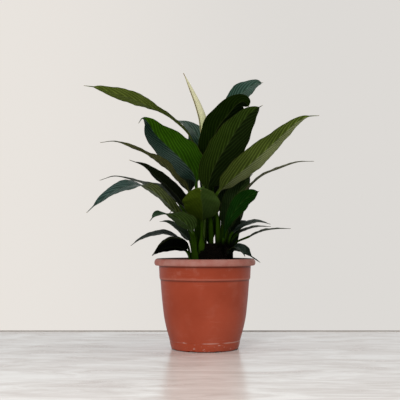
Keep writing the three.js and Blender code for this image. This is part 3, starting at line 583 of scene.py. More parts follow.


# ---- leaves

# Each leaf: its size, the share of the spine where the blade starts, the blade's flat width, the
# angle by which each half is folded up, where its upper face looks at the blade's base and at its
# tip, and its spine from the root in the peat to the drip tip. Some have their own belly,
# fullness, drip tip, sheath, painted shade at the blade's base or ribbing, which is how strongly
# the veins show, and a wave of the margin as height, number of waves and phase. The skin list holds
# the colour of the upper face and of the underside, painted near black where a leaf sits in shade,
# and the gloss from 0 to 1, then the colour and gloss of the right half where that differs, its
# colour painted lighter or darker for the light that falls on that half.
leaves = {
    # left side, from the top down
    "left_long": dict(
        size="large", blade=0.45, width=32, belly=0.63, fullness=0.7, fold=8, wave=[1.5, 2, 0],
        face=[0.3, -0.14, 1], tipFace=[0, 0.7, 0.8], ribbing=0.75, skin=["#2e401a", "#4c5822", 0.3],
        spine=[[-2, 6, 154], [-8, 10, 207], [-14, 15, 264], [-14, 22, 303], [-16, 25, 338],
            [-26, 22, 360], [-44, 12, 378], [-66, 0, 393], [-92, -10, 405], [-122, -20, 417],
            [-152, -30, 425], [-178, -38, 432], [-199, -45, 434]]),
    "left_back": dict(
        size="large", blade=0.51, width=50, fold=12, wave=[2, 2, 1], face=[-0.3, -0.7, 0.8],
        tipFace=[0.2, -0.5, 1], skin=["#1c3428", "#3a4a20", 0.95],
        spine=[[0, 24, 154], [0, 33, 225], [-1, 46, 286], [-5, 58, 338], [-14, 66, 367],
            [-32, 74, 386], [-56, 84, 398]]),
    # the two halves are painted in different greens for the light on them: bright on the left, dark
    # under its gloss on the right
    "left_broad": dict(
        size="large", blade=0.43, width=72, belly=0.38, fullness=0.72, fold=18, wave=[1.5, 2, 2],
        face=[0.2, -1, 0.5], tipFace=[0.2, -1, 0.6],
        skin=["#284806", "#34421a", 0.1, "#0c241b", 1.0],
        spine=[[-11, -2, 154], [-13, -2, 224], [-14, -2, 264], [-18, 0, 290], [-40, 2, 317],
            [-67, 8, 343], [-86, 12, 363], [-97, 12, 381], [-106, 10, 388], [-113, 8, 379]]),
    "left_slim": dict(
        size="medium", blade=0.39, width=25, belly=0.4, fold=10, wave=[1.5, 3, 0.5],
        face=[0.6, 0.5, 0.8], tipFace=[0.2, 0.1, 1], skin=["#3c3e24", "#464828", 0.3],
        spine=[[-13, -10, 148], [-16, -16, 205], [-20, -20, 240], [-30, -24, 268],
            [-47, -28, 283], [-64, -32, 303], [-90, -40, 319], [-120, -48, 332.5],
            [-147, -54, 341], [-170, -58, 338.5]]),
    # painted near black for the shade it sits in
    "left_dark": dict(
        size="medium", blade=0.39, width=36, fold=14, wave=[1, 2, 0], face=[0.3, 0.6, 0.8],
        tipFace=[0.2, 0.3, 1], skin=["#0a1006", "#0d1206", 0.1],
        spine=[[-15, 8, 151], [-22, 8, 205], [-29, 8, 231], [-42, 8, 251], [-61, 6, 271],
            [-81, 4, 288], [-103, 2, 306], [-128, 0, 316]]),
    "left_thin": dict(
        size="medium", blade=0.38, width=32, belly=0.3, fold=8, wave=[1, 2, 1],
        face=[0.6, -0.6, 0.7], tipFace=[0.1, 0, 1], skin=["#1e2616", "#262c12", 0.4],
        spine=[[-16, 16, 145], [-24, 22, 199], [-34, 28, 227], [-51, 36, 251], [-76, 46, 270],
            [-103, 56, 279], [-131, 64, 288], [-160, 72, 294], [-187, 78, 287]]),
    "left_arching": dict(
        size="large", blade=0.31, width=35, belly=0.46, fold=12, wave=[2, 3, 0],
        face=[0.6, 0.9, 0.5], tipFace=[-0.2, -1, 0.7], skin=["#1c322e", "#465026", 0.9],
        spine=[[-19, -16, 130], [-21, -18, 182], [-30, -24, 206], [-44, -32, 224],
            [-61, -44, 242], [-80, -56, 258], [-101, -68, 268], [-124, -80, 266],
            [-146, -90, 257], [-167, -98, 241], [-185, -104, 223]]),
    "left_hooked": dict(
        size="large", blade=0.42, width=48, belly=0.4, fold=12, wave=[1, 2, 1],
        face=[0.4, 0.8, 0.6], tipFace=[0, -0.4, 1], sheath=1.2, skin=["#1e3420", "#32461a", 0.55],
        spine=[[-16, -26, 125], [-16, -32, 180], [-21, -42, 195], [-34, -56, 210],
            [-50, -70, 219], [-67, -84, 222], [-79, -94, 219], [-87, -100, 210]]),
    "left_small": dict(
        size="small", blade=0.43, width=30, fold=10, face=[0.3, 0.7, 0.7], tipFace=[0, 0.4, 1],
        skin=["#0e1a14", "#182414", 0.5],
        spine=[[-19, 28, 126], [-25, 32, 178], [-32, 36, 188], [-44, 42, 198], [-57, 50, 207],
            [-69, 56, 213], [-79, 60, 213]]),
    "left_drooping": dict(
        size="small", blade=0.38, width=29, fold=10, face=[0.2, -0.3, 1], tipFace=[-0.3, -0.3, 1],
        skin=["#0c160f", "#121a0e", 0.45],
        spine=[[-22, 1, 136], [-29, 0, 170], [-38, 0, 181], [-55, -2, 189], [-72, -4, 192],
            [-92, -6, 188], [-110, -8, 181], [-124, -10, 171]]),
    "left_low_thin": dict(
        size="small", blade=0.46, width=15, fold=8, face=[0, 0.1, 1], tipFace=[-0.6, 0, 0.8],
        skin=["#101c10", "#1e2814", 0.5],
        spine=[[-21, 13, 136], [-31, 20, 175], [-46, 28, 185], [-61, 36, 184], [-77, 46, 172],
            [-92, 56, 154]]),
    # painted near black for the shade it sits in
    "left_low": dict(
        size="small", blade=0.34, width=39, fullness=0.65, fold=14, face=[0.1, 0.8, 1],
        tipFace=[-0.4, 0.6, 0.9], skin=["#030403", "#050605", 0.2],
        spine=[[-22, -12, 129], [-29, -16, 160], [-42, -22, 169], [-58, -30, 169],
            [-74, -38, 164], [-86, -44, 155]]),
    # right side, from the top down
    "right_top": dict(
        size="large", blade=0.51, width=43, belly=0.66, fullness=0.5, drip=0.02, fold=12,
        wave=[2, 3, 0], face=[-0.6, -0.8, 0.4], tipFace=[-0.3, -0.9, 0.7],
        skin=["#1a382c", "#304024", 0.9],
        spine=[[22, 18, 154], [19, 26, 216], [13, 32, 268], [14, 36, 311], [27, 42, 367],
            [45, 48, 408], [63, 54, 436], [79, 60, 451], [92, 63, 458], [104, 66, 460]]),
    # painted near black for the shade it sits in, the right half a little less dark
    "right_shaded": dict(
        size="large", blade=0.47, width=52, belly=0.53, fullness=0.45, drip=0.02, fold=10,
        wave=[1.5, 2, 0], face=[-0.3, -1, 0.2], tipFace=[0.2, -1, 0.4],
        skin=["#060d02", "#0e1805", 0.0, "#101c03", 0.0],
        spine=[[11, 8, 154], [9, 12, 216], [4, 16, 267], [5, 18, 308], [12, 18, 345],
            [23, 18, 374], [42, 18, 398], [55, 18, 413], [66, 18, 418], [77, 18, 408]]),
    # the right half painted darker than the left, for the shade on that half
    "right_centre": dict(
        size="large", blade=0.38, width=63, belly=0.41, fullness=0.6, drip=0.04, fold=10,
        wave=[1.5, 2, 1], face=[0.25, 1, -0.2], tipFace=[0.2, 1, -0.2],
        skin=["#182808", "#202e08", 0.2, "#141e08", 0.0],
        spine=[[11, -8, 154], [10, -10, 215], [6, -12, 270], [18, -14, 307], [36, -16, 337],
            [56, -16, 369], [76, -14, 393], [97, -12, 407]]),
    # the right half painted pale and glossy: a painted highlight along that half
    "right_pale": dict(
        size="large", blade=0.34, width=49, belly=0.35, fold=12, wave=[1, 2, 0],
        face=[-0.5, 0.9, 0.6], tipFace=[-0.4, 0.9, 0.8],
        skin=["#323f1a", "#46531f", 0.3, "#6f784c", 0.8],
        spine=[[23, -16, 153], [21, -20, 215], [18, -26, 253], [42, -34, 279], [69, -44, 301],
            [92, -54, 321], [113, -64, 340], [130, -74, 355], [145, -80, 368], [160, -86, 376],
            [180, -94, 377]]),
    "right_thin": dict(
        size="medium", blade=0.43, width=35, fold=8, wave=[0.8, 2, 0], face=[-0.4, -0.1, 1],
        tipFace=[0, -0.1, 1], skin=["#56543a", "#5a5a40", 0.3],
        spine=[[32, 2, 154], [37, 2, 199], [51, 0, 235], [71, -2, 266], [96, -6, 289],
            [125, -10, 301], [155, -14, 311], [182, -18, 312]]),
    "right_green": dict(
        size="medium", blade=0.26, width=31, belly=0.7, fullness=0.66, drip=0.03, fold=14,
        wave=[1.5, 2, 2], face=[-0.2, -1, 0.3], tipFace=[0, -1, 0.5],
        skin=["#0a2602", "#1a2a0a", 0.2],
        spine=[[29, -19, 146], [31, -22, 185], [39, -26, 211], [51, -30, 231], [65, -34, 247],
            [78, -38, 255], [89, -42, 261]]),
    "right_grey": dict(
        size="medium", blade=0.28, width=40, belly=0.5, fullness=0.6, fold=14, wave=[1, 2, 0],
        face=[-0.3, -1, 0.2], tipFace=[0, -1, 0.3],
        skin=["#2a3a16", "#303c18", 0.4, "#1c2a10", 0.25],
        spine=[[34, 10, 153], [38, 12, 195], [43, 14, 224], [53, 16, 253], [67, 18, 278],
            [82, 21, 294]]),
    "right_blue": dict(
        size="small", blade=0.41, width=31, fold=10, face=[0, -0.4, 1], tipFace=[0.3, -0.2, 1],
        skin=["#18241c", "#20281a", 0.6],
        spine=[[37, -5, 149], [44, -6, 190], [57, -8, 200], [72, -12, 207], [87, -14, 211],
            [98, -16, 210], [109, -18, 207]]),
    "right_wire_short": dict(
        size="small", blade=0.46, width=18, fold=8, face=[-0.2, -0.25, 1], tipFace=[0.2, -0.1, 1],
        skin=["#222814", "#2a3018", 0.4],
        spine=[[40, 15, 141], [46, 16, 180], [58, 20, 193], [74, 24, 200], [91, 28, 204],
            [114, 34, 204]]),
    "right_wire_long": dict(
        size="small", blade=0.44, width=18, fold=6, face=[-0.3, -0.2, 1], tipFace=[0, -0.1, 1],
        skin=["#222814", "#2a3018", 0.4],
        spine=[[41, 4, 144], [50, 4, 174], [73, 4, 186], [96, 4, 196], [122, 4, 200],
            [145, 4, 200]]),
    "right_low": dict(
        size="small", blade=0.31, width=25, belly=0.46, drip=0.3, fold=12, face=[0.3, -0.7, 0.8],
        tipFace=[0.6, -0.6, 0.7], skin=["#0c1810", "#141e10", 0.45],
        spine=[[38, -14, 138], [44, -20, 160], [52, -26, 167], [61, -30, 165], [69, -34, 159],
            [77, -37, 153], [90, -41, 144]]),
    "right_low_front": dict(
        size="small", blade=0.4, width=28, fold=12, face=[0.2, -0.6, 0.9], tipFace=[0.5, -0.6, 0.7],
        skin=["#101c14", "#182214", 0.5],
        spine=[[34, -25, 128], [39, -32, 157], [45, -40, 166], [53, -48, 169], [60, -56, 163],
            [64, -62, 154]]),
    # front
    # painted shade towards the blade's base, and the right half painted darker
    "front": dict(
        size="large", blade=0.32, width=62, fold=-14, wave=[1.5, 2, 0], face=[0, 0.6, 1],
        tipFace=[0, 0, 1], sheath=1.3, baseShade=0.25, ribbing=0.2,
        skin=["#4c6430", "#465a14", 0.1, "#3c5224", 0.1],
        spine=[[-6, -18, 148], [-5, -24, 202], [-4, -36, 224], [-5, -56, 241], [-7, -80, 251],
            [-7, -106, 259], [-7, -130, 261], [-7, -146, 255]]),
    # back
    "back_tall": dict(
        size="medium", blade=0.24, width=40, fullness=0.6, fold=14, wave=[2, 2, 0],
        face=[0, -1, 0.4], tipFace=[0, -0.7, 1],
        spine=[[11, 26, 154], [13, 44, 230], [11, 68, 300], [12, 94, 350], [17, 130, 380]]),
    "back_left": dict(
        size="medium", blade=0.47, width=46, fold=14, wave=[2, 2, 1], face=[0.2, -0.7, 0.8],
        tipFace=[-0.3, -0.1, 1],
        spine=[[-7, 33, 134], [-14, 46, 215], [-28, 66, 270], [-48, 96, 315], [-66, 130, 335],
            [-80, 168, 330]]),
    "back_right": dict(
        size="medium", blade=0.48, width=46, fold=14, wave=[2, 2, 2], face=[-0.3, -0.7, 0.8],
        tipFace=[0.2, -0.1, 1],
        spine=[[21, 34, 140], [28, 46, 230], [46, 66, 285], [70, 90, 322], [94, 118, 340],
            [116, 146, 336]]),
    "back_high": dict(
        size="medium", blade=0.3, width=46, belly=0.36, fold=12, wave=[2, 2, 0],
        face=[-0.2, -0.8, 0.6], tipFace=[0.1, -0.2, 1],
        spine=[[29, 22, 152], [32, 38, 230], [44, 52, 300], [51, 74, 352], [62, 102, 384],
            [76, 134, 392]]),
    "back_low_left": dict(
        size="medium", blade=0.4, width=40, fold=12, wave=[2, 2, 0], face=[0, -0.4, 1],
        tipFace=[0, 0.6, 1],
        spine=[[2, 36, 136], [-3, 62, 212], [-10, 86, 250], [-17, 120, 262], [-21, 154, 245],
            [-23, 188, 215]]),
    "back_low_right": dict(
        size="medium", blade=0.4, width=40, fold=12, wave=[2, 2, 1], face=[0, -0.4, 1],
        tipFace=[0.3, 0.6, 1],
        spine=[[30, 31, 137], [30, 60, 206], [38, 86, 246], [53, 112, 252], [62, 146, 238],
            [71, 178, 212]]),
    "back_far_left": dict(
        size="small", blade=0.46, width=32, fold=10, face=[0.2, -0.5, 0.9], tipFace=[-0.4, 0.3, 1],
        spine=[[-14, 34, 125], [-24, 50, 206], [-38, 66, 234], [-50, 82, 240], [-64, 98, 228]]),
    "back_far_right": dict(
        size="small", blade=0.47, width=28, fold=10, face=[-0.2, -0.3, 1], tipFace=[0.4, 0.3, 1],
        spine=[[45, 46, 125], [50, 56, 182], [57, 70, 206], [63, 92, 216], [69, 118, 210]]),
    "back_drooping_left": dict(
        size="small", blade=0.42, width=28, fold=10, face=[0, -0.2, 1], tipFace=[0, 0.6, 0.8],
        spine=[[-6, 42, 125], [-12, 62, 182], [-17, 86, 194], [-21, 112, 187], [-24, 136, 168]]),
    "back_drooping_right": dict(
        size="small", blade=0.42, width=28, fold=10, face=[0, -0.2, 1], tipFace=[0.1, 0.6, 0.8],
        spine=[[22, 43, 125], [30, 62, 180], [36, 84, 192], [41, 108, 186], [46, 132, 168]]),
    "back_short_left": dict(
        size="small", blade=0.3, width=32, fullness=0.6, fold=12, face=[0, -1, 0.3],
        tipFace=[0, -0.9, 0.6],
        spine=[[9, 44, 125], [7, 49, 180], [4, 52, 210], [2, 56, 250], [1, 64, 290]]),
    "back_short_right": dict(
        size="small", blade=0.28, width=34, fullness=0.55, fold=12, face=[0, -1, 0.3],
        tipFace=[0, -0.9, 0.6],
        spine=[[38, 36, 125], [42, 41, 165], [44, 44, 195], [48, 47, 225], [54, 53, 255]]),
}

leafLook = {
    # what a leaf has unless its entry says otherwise
    "usual": dict(belly=0.41, fullness=0.8, drip=0.07, wave=[0, 0, 0], sheath=0.6, baseShade=0.6,
                  ribbing=1, skin=["#14220a", "#1e2a10", 0.4]),
    "petiole": "#2c4608", "petioleFoot": "#1c2606", "nearBlack": "#060603", "dryTip": "#7d6b3c",
    "columns": {"large": 33, "medium": 29, "small": 23},
    "stem": {"large": 2.4, "medium": 2.1, "small": 1.8},
    "step": 1.35, "stemSteps": 26, "crowding": 1.3,  # columns crowd towards the midrib
    "knee": 0.12, "kneeLength": 9,  # the petiole swells under the blade
    "channel": 0.22, "channelWidth": 0.35,  # and is hollowed along its upper face
    "tipHalf": (1.6, 0.5), "tipBar": 0.4,  # half the drip tip's width at its ends, and its bar
    "middle": 0.8, "margin": 0.36,  # thickness at the midrib and at the margin
    "rib": 1.1, "ribWidth": 1.7, "groove": 0.35, "grooveWidth": 1.1, "ribRound": 0.05,
    "veinSpacing": {"large": 17, "medium": 13, "small": 9}, "veinSweep": (2.6, 1.2),
    "quilting": 0.22, "ripple": 0.45, "rippleLength": 26, "unevenness": 0.03,
    "veinMap": 50,  # the UV map's height holds the number of the vein over this
    # petioles rooted right of x = 12 mm are painted near black up to about the plug's top, fading
    # out from 2 mm below it to 14 mm above it
    "darkBand": (-2, 14), "darkFrom": 12, "seed": 500,
}

# how each face of a leaf takes light: mottling, how much lighter and darker the veins make it,
# roughness of a dull and of a glossy leaf, the wax on a glossy one and which way the veins stand
leafFaces = {
    "waxyLeaf": {"mottling": 0.35, "mottles": "#6f8038", "relief": (1.1, -0.3),
                 "roughness": (0.55, 0.27), "wax": 0.85, "veinHeight": -1},
    "leafUnderside": {"mottling": 0.25, "mottles": "#838b40", "relief": (1.5, -0.38),
                      "roughness": (0.62, 0.45), "wax": 0.4, "veinHeight": 1},
}
leafSkin = {
    "noises": {"mottling": (70, 5), "patches": (18, 2), "wear": (120, 4), "grain": (900, 2)},
    "patches": "#8d9a6a", "midrib": ("#4c5a2c", 0.14), "edge": ("#3a3f1c", 0.5),
    "strongVeins": 0.65, "faintVeins": 0.35, "sheen": "#c6e8dc", "wear": 0.18, "polish": 0.06,
    "veinShine": 1.7, "flatShine": 0.25, "grain": 0.35, "bump": 0.5, "bumpDepth": 0.35,
}


# A leaf's skin, waxy above and duller below: the tint, painted shade and light included, comes
# from the mesh, the veins from the piece's own map, whose width is the place across the blade and
# whose height counts the veins.
def leafFinish(name):
    material, tree, shader = newMaterial(name)
    look = leafFaces[name]
    spot = addNode(tree, "ShaderNodeTexCoord").outputs["Object"]
    tint = addNode(tree, "ShaderNodeAttribute", {"attribute_name": "tint"}).outputs["Color"]
    blade, gloss, ribbing = (
        addNode(tree, "ShaderNodeAttribute", {"attribute_name": given}).outputs["Fac"]
        for given in ("blade", "gloss", "ribbing"))
    mapped = addNode(tree, "ShaderNodeSeparateXYZ", inputs={
        0: addNode(tree, "ShaderNodeUVMap", {"uv_map": "bladeMap"})}).outputs
    noises = {kind: addNode(tree, "ShaderNodeTexNoise", inputs={
        "Vector": spot, "Scale": scale, "Detail": detail})
        for kind, (scale, detail) in leafSkin["noises"].items()}

    # places on the blade: 0 at the midrib and 1 at the margin, and how near the next vein is
    side = addNode(tree, "ShaderNodeMath", timesPlus, {0: mapped["X"], 1: 2, 2: -1})
    out = addNode(tree, "ShaderNodeMath", {"operation": "ABSOLUTE"}, {0: side})
    near = []
    for count in (1, 3):  # strong veins, and faint ones three times as close
        vein = addNode(tree, "ShaderNodeMath", times, {
            0: mapped["Y"], 1: count * leafLook["veinMap"]})
        near.append(addNode(tree, "ShaderNodeMath", {"operation": "PINGPONG"}, {0: vein, 1: 0.5}))
    ramps = {}
    for result, value, *ends in (
            ("strong", near[0], 0.26, 0.04), ("faint", near[1], 0.25, 0.05),
            ("inner", out, 1, 0.9), ("midrib", out, 0.05, 0.012), ("edge", out, 0.955, 0.995),
            ("mottled", noises["mottling"], 0.4, 0.7, 0, look["mottling"]),
            ("patchy", noises["patches"], 0.4, 0.65, 0, 0.3),
            ("rough", gloss, 0, 1, *look["roughness"]), ("wax", gloss, 0, 1, 0.02, look["wax"])):
        ramps[result] = addNode(tree, "ShaderNodeMapRange", softly, {
            "Value": value, **dict(zip(rampEnds, ends))})
    inner, midrib, edge = (
        addNode(tree, "ShaderNodeMath", times, {0: ramps[result], 1: blade})
        for result in ("inner", "midrib", "edge"))
    strong = addNode(tree, "ShaderNodeMath", times, {
        0: ramps["strong"], 1: leafSkin["strongVeins"]})
    both = addNode(tree, "ShaderNodeMath", timesPlus, {
        0: ramps["faint"], 1: leafSkin["faintVeins"], 2: strong})
    veins = addNode(tree, "ShaderNodeMath", times, {0: both, 1: inner})

    # colour, from the mesh's tint up
    mottled = addNode(tree, "ShaderNodeMix", {"data_type": "RGBA", "blend_type": "SOFT_LIGHT"}, {
        0: ramps["mottled"], 6: tint, 7: linear(look["mottles"])}).outputs[2]
    patchy = addNode(tree, "ShaderNodeMix", {"data_type": "RGBA", "blend_type": "MULTIPLY"}, {
        0: ramps["patchy"], 6: mottled, 7: linear(leafSkin["patches"])}).outputs[2]
    relief = addNode(tree, "ShaderNodeMath", timesPlus, {
        0: veins, 1: look["relief"][0], 2: look["relief"][1]})
    light = addNode(tree, "ShaderNodeMath", timesPlus, {0: relief, 1: ribbing, 2: 1})
    paint = addNode(tree, "ShaderNodeVectorMath", {"operation": "SCALE"}, {
        0: patchy, "Scale": light})
    for mask, (colour, strength) in ((midrib, leafSkin["midrib"]), (edge, leafSkin["edge"])):
        share = addNode(tree, "ShaderNodeMath", times, {0: mask, 1: strength})
        paint = addNode(tree, "ShaderNodeMix", colours, {
            0: share, 6: paint, 7: linear(colour)}).outputs[2]

    # gloss: a little of it worn, and streaked where the veins catch the light
    polished = addNode(tree, "ShaderNodeMath", {"operation": "SUBTRACT"}, {
        0: ramps["rough"], 1: leafSkin["polish"]})
    rough = addNode(tree, "ShaderNodeMath", timesPlus, {
        0: noises["wear"], 1: leafSkin["wear"], 2: polished})
    ribs = addNode(tree, "ShaderNodeMath", times, {0: veins, 1: ribbing})
    streaked = addNode(tree, "ShaderNodeMath", timesPlus, {
        0: ribs, 1: leafSkin["veinShine"], 2: leafSkin["flatShine"]})
    sheen = addNode(tree, "ShaderNodeMath", times, {0: ramps["wax"], 1: streaked})
    grain = addNode(tree, "ShaderNodeMath", times, {0: noises["grain"], 1: leafSkin["grain"]})
    height = addNode(tree, "ShaderNodeMath", timesPlus, {0: veins, 1: look["veinHeight"], 2: grain})
    bump = addNode(tree, "ShaderNodeBump", inputs={
        "Height": height, "Strength": leafSkin["bump"], "Distance": leafSkin["bumpDepth"] * mm})
    feed(shader, {"Base Color": paint, "Roughness": rough, "Normal": bump, "IOR": 1.45,
                  "Specular IOR Level": sheen, "Specular Tint": linear(leafSkin["sheen"])})
    return material


def leafPiece(name, leaf, number, finishes):
    random = np.random.default_rng(leafLook["seed"] + number)
    leaf = {**leafLook["usual"], **leaf}
    size, start = leaf["size"], leaf["blade"]
    columns, stem = leafLook["columns"][size], leafLook["stem"][size]
    length = spineLength(leaf["spine"])
    steps = int((1 - start) * length / leafLook["step"])
    shares = np.concatenate([np.linspace(1 / length, start, leafLook["stemSteps"] + 1)[:-1],
                             np.linspace(start, 1, steps + 1)])
    centre, along = alongSpine(leaf["spine"], shares)
    up = mix(unit(np.array(leaf["face"], float)), unit(np.array(leaf["tipFace"], float)),
             smooth(start, 1, shares)[:, None])
    normal = unit(up - along * (up * along).sum(1, keepdims=True))
    across = np.cross(normal, along)

    # the outline: broadest at the belly, drawn out to a drip tip
    s = np.clip((shares - start) / (1 - start), 0, None)
    power = math.log(0.5) / math.log(leaf["belly"])
    bulge = np.sin(math.pi * np.minimum(s / (1 - leaf["drip"]), 1) ** power)
    outline = np.clip(bulge, 0, 1) ** leaf["fullness"]
    tip = s > 0.5
    least = np.where(tip, mix(*leafLook["tipHalf"], smooth(0.85, 1, s)), 0)
    half = np.maximum(leaf["width"] / 2 * outline, least)
    flat = np.where(tip, 1 - smooth(0.97, 1, s), smooth(0, 0.1, s))[:, None]
    below = (shares - start + 0.02) * length / leafLook["kneeLength"]
    knee = 1 + leafLook["knee"] * np.exp(-below ** 2)
    bar = np.where(tip, leafLook["tipBar"], stem * knee)[:, None]
    sheath = 1 + leaf["sheath"] * (1 - smooth(0.35, 0.6, shares / start))[:, None]

    # across the blade: u runs from one margin over the midrib to the other
    step = np.linspace(-1, 1, columns)
    u = np.sign(step) * np.abs(step) ** leafLook["crowding"]
    fold = math.radians(leaf["fold"])
    tall, waves, phase = leaf["wave"]
    wave = (tall * np.sin(2 * math.pi * waves * s + phase) * outline)[:, None]
    uneven = np.ones((len(s), columns))
    ripple = np.zeros((len(s), columns))
    run = (s * (1 - start) * length)[:, None]
    for side in (-1, 1):
        here = np.broadcast_to(np.sign(u) == side, ripple.shape)
        one, two, three = random.uniform(0, 2 * math.pi, 3)
        pitch = 2 * math.pi / (leafLook["rippleLength"] * random.uniform(0.8, 1.25))
        swell = np.sin(pitch * run + one) + 0.5 * np.sin(2.3 * pitch * run + two)
        ripple += here * leafLook["ripple"] * swell * np.abs(u) ** 3 * outline[:, None]
        uneven += here * leafLook["unevenness"] * np.sin(0.7 * pitch * run + three)
    wide = half[:, None] * uneven
    bend = np.sqrt(u * u + leafLook["ribRound"] ** 2) - leafLook["ribRound"]
    aside = wide * u * math.cos(fold)
    straight, curved = leafLook["veinSweep"]
    reach = (half[:, None] + 0 * u) * (straight * np.abs(u) + curved * u * u)
    veins = (run - reach) / leafLook["veinSpacing"][size]
    quilt = (leafLook["quilting"] * np.cos(2 * math.pi * veins) * smooth(0.06, 0.3, np.abs(u))
             * (1 - smooth(0.8, 1, np.abs(u))) * smooth(0.05, 0.25, outline)[:, None])
    lift = wide * bend * math.sin(fold) + wave * u * np.abs(u) + ripple + quilt
    thick = mix(leafLook["middle"], leafLook["margin"], np.abs(u) ** 1.5) / 2
    fading = (1 - s)[:, None] ** 0.7
    points = []
    for face in (1, -1):
        turn = math.pi * (1 - (np.arange(columns) + 0.5) / columns) * face
        if face > 0:
            rib = -leafLook["groove"] * np.exp(-(aside / leafLook["grooveWidth"]) ** 2) * fading
            hollow = np.exp(-(np.cos(turn) / leafLook["channelWidth"]) ** 2)
            channel = 1 - leafLook["channel"] * hollow
        else:
            rib = leafLook["rib"] * np.exp(-(aside / leafLook["ribWidth"]) ** 2) * fading
            channel = 1
        x = mix(bar * sheath * np.cos(turn), aside, flat)[..., None]
        z = mix(bar * np.sin(turn) * channel, lift + face * (thick + rib), flat)[..., None]
        points.append(centre[:, None] + across[:, None] * x + normal[:, None] * z)
    rings = np.concatenate(points, axis=1)
    top, bottom, sides = skinFaces(len(shares), columns)
    piece = meshPiece("blade_" + name, rings.reshape(-1, 3) * mm,
                      np.vstack([top, bottom, sides]), finishes)
    mesh = piece.data
    under = np.ones(len(mesh.polygons), np.int32)
    under[:len(top)] = 0
    mesh.polygons.foreach_set("material_index", under)

    # what the finish reads from the mesh
    upperTint, underTint, gloss, *right = leaf["skin"]
    petiole, foot, brownMark, nearBlack = (
        np.array(linear(leafLook[key])) for key in ("petiole", "petioleFoot", "dryTip", "nearBlack"))
    stalk = mix(foot, petiole, smooth(0, 0.45, shares / start)[:, None])
    # stalks rooted right of the plug's middle are painted near black low down
    if leaf["spine"][0][0] > leafLook["darkFrom"]:
        low, high = (peat["plugHeight"] + reach for reach in leafLook["darkBand"])
        stalk = mix(nearBlack, stalk, smooth(low, high, centre[:, 2])[:, None])
    isBlade = smooth(start - 0.025, start + 0.025, shares)[:, None]
    # painted shade: each blade is painted darker towards its base, down to baseShade at the base
    grown = mix(leaf["baseShade"], 1, smooth(0, 0.6, s))[:, None] * [1, 1, 1, 0] + [0, 0, 0, 1]
    # tints for both faces; where a right half is given, that half is painted lighter or darker for
    # the light on it
    tints = []
    for colour in (upperTint, underTint):
        halves = []
        for tint in (colour, right[0] if right else colour):
            row = mix(stalk, np.array(linear(tint)) * grown, isBlade)
            halves.append(mix(row, brownMark, smooth(0.975, 1, s)[:, None])[:, None])
        tints.append(mix(*halves, smooth(-0.04, 0.04, u)[:, None]))
    glosses = isBlade * np.tile(np.where(u > 0, right[1] if right else gloss, gloss), 2)
    count = 2 * columns
    for given, kind, key, values in (
            ("tint", "FLOAT_COLOR", "color", np.concatenate(tints, axis=1)),
            ("blade", "FLOAT", "value", np.repeat(isBlade[:, 0], count)),
            ("gloss", "FLOAT", "value", glosses),
            ("ribbing", "FLOAT", "value", np.full(len(shares) * count, leaf["ribbing"]))):
        mesh.attributes.new(given, kind, "POINT").data.foreach_set(
            key, values.ravel().astype(np.float32))
    addMap(mesh, "bladeMap", np.stack([
        np.broadcast_to(u * 0.5 + 0.5, veins.shape), veins / leafLook["veinMap"]], -1))
    mesh.set_sharp_from_angle(angle=math.radians(50))
    place(piece, "leaf", "leaf_" + name)
    return piece


finishes = [leafFinish(name) for name in leafFaces]
total = sum(len(leafPiece(name, leaf, number, finishes).data.polygons)
            for number, (name, leaf) in enumerate(leaves.items()))
print("leaves:", total, "faces")


# ---- flower: stalk, rolled spathe and the spadix inside it

flower = {
    "spine": [[-4, 17, 160], [-1, 22, 207], [-2, 29, 267], [-5, 32, 292], [-5, 34, 322],
              [-2, 36, 355], [-2, 36, 384], [-11, 36, 414], [-25, 36, 446], [-37, 36, 471]],
    "stalk": {"radius": 2.2, "foot": 1.08, "thinning": 0.12, "end": 0.62, "sides": 20, "step": 3},
    "spathe": {"start": 0.59, "radius": 8.2, "taper": 1.5, "collar": 3.3, "wrap": 176, "lap": 0.6,
               "least": 0.55, "pleat": 0.12, "thickness": 0.7, "columns": 61, "step": 1,
               "flare": 0.3, "veins": 11, "face": [-0.85, -0.5, 0.1]},
    "spadix": {"start": 0.622, "end": 0.78, "radius": 2.7, "sides": 20, "step": 1.5,
               "blunting": 0.8, "neck": 0.3, "florets": 230, "floret": 0.62,
               "spread": (0.85, 1.15), "seed": 5},
}


# fleshy flower stalk: paler than the petioles and softly shining, with faint lengthwise threads
def fleshyStalk():
    material, tree, shader = newMaterial("fleshyStalk")
    spot = addNode(tree, "ShaderNodeTexCoord").outputs["Object"]
    drawn = addNode(tree, "ShaderNodeMapping", inputs={"Vector": spot, "Scale": (1, 1, 0.06)})
    threads = addNode(tree, "ShaderNodeTexNoise", inputs={
        "Vector": drawn, "Scale": 900, "Detail": 3})
    tint = addNode(tree, "ShaderNodeMix", colours, {
        0: threads, 6: linear("#3a5410"), 7: linear("#587428")}).outputs[2]
    bump = addNode(tree, "ShaderNodeBump", inputs={
        "Height": threads, "Strength": 0.3, "Distance": 0.2 * mm})
    feed(shader, {"Base Color": tint, "Roughness": 0.42, "IOR": 1.45, "Normal": bump})
    return material
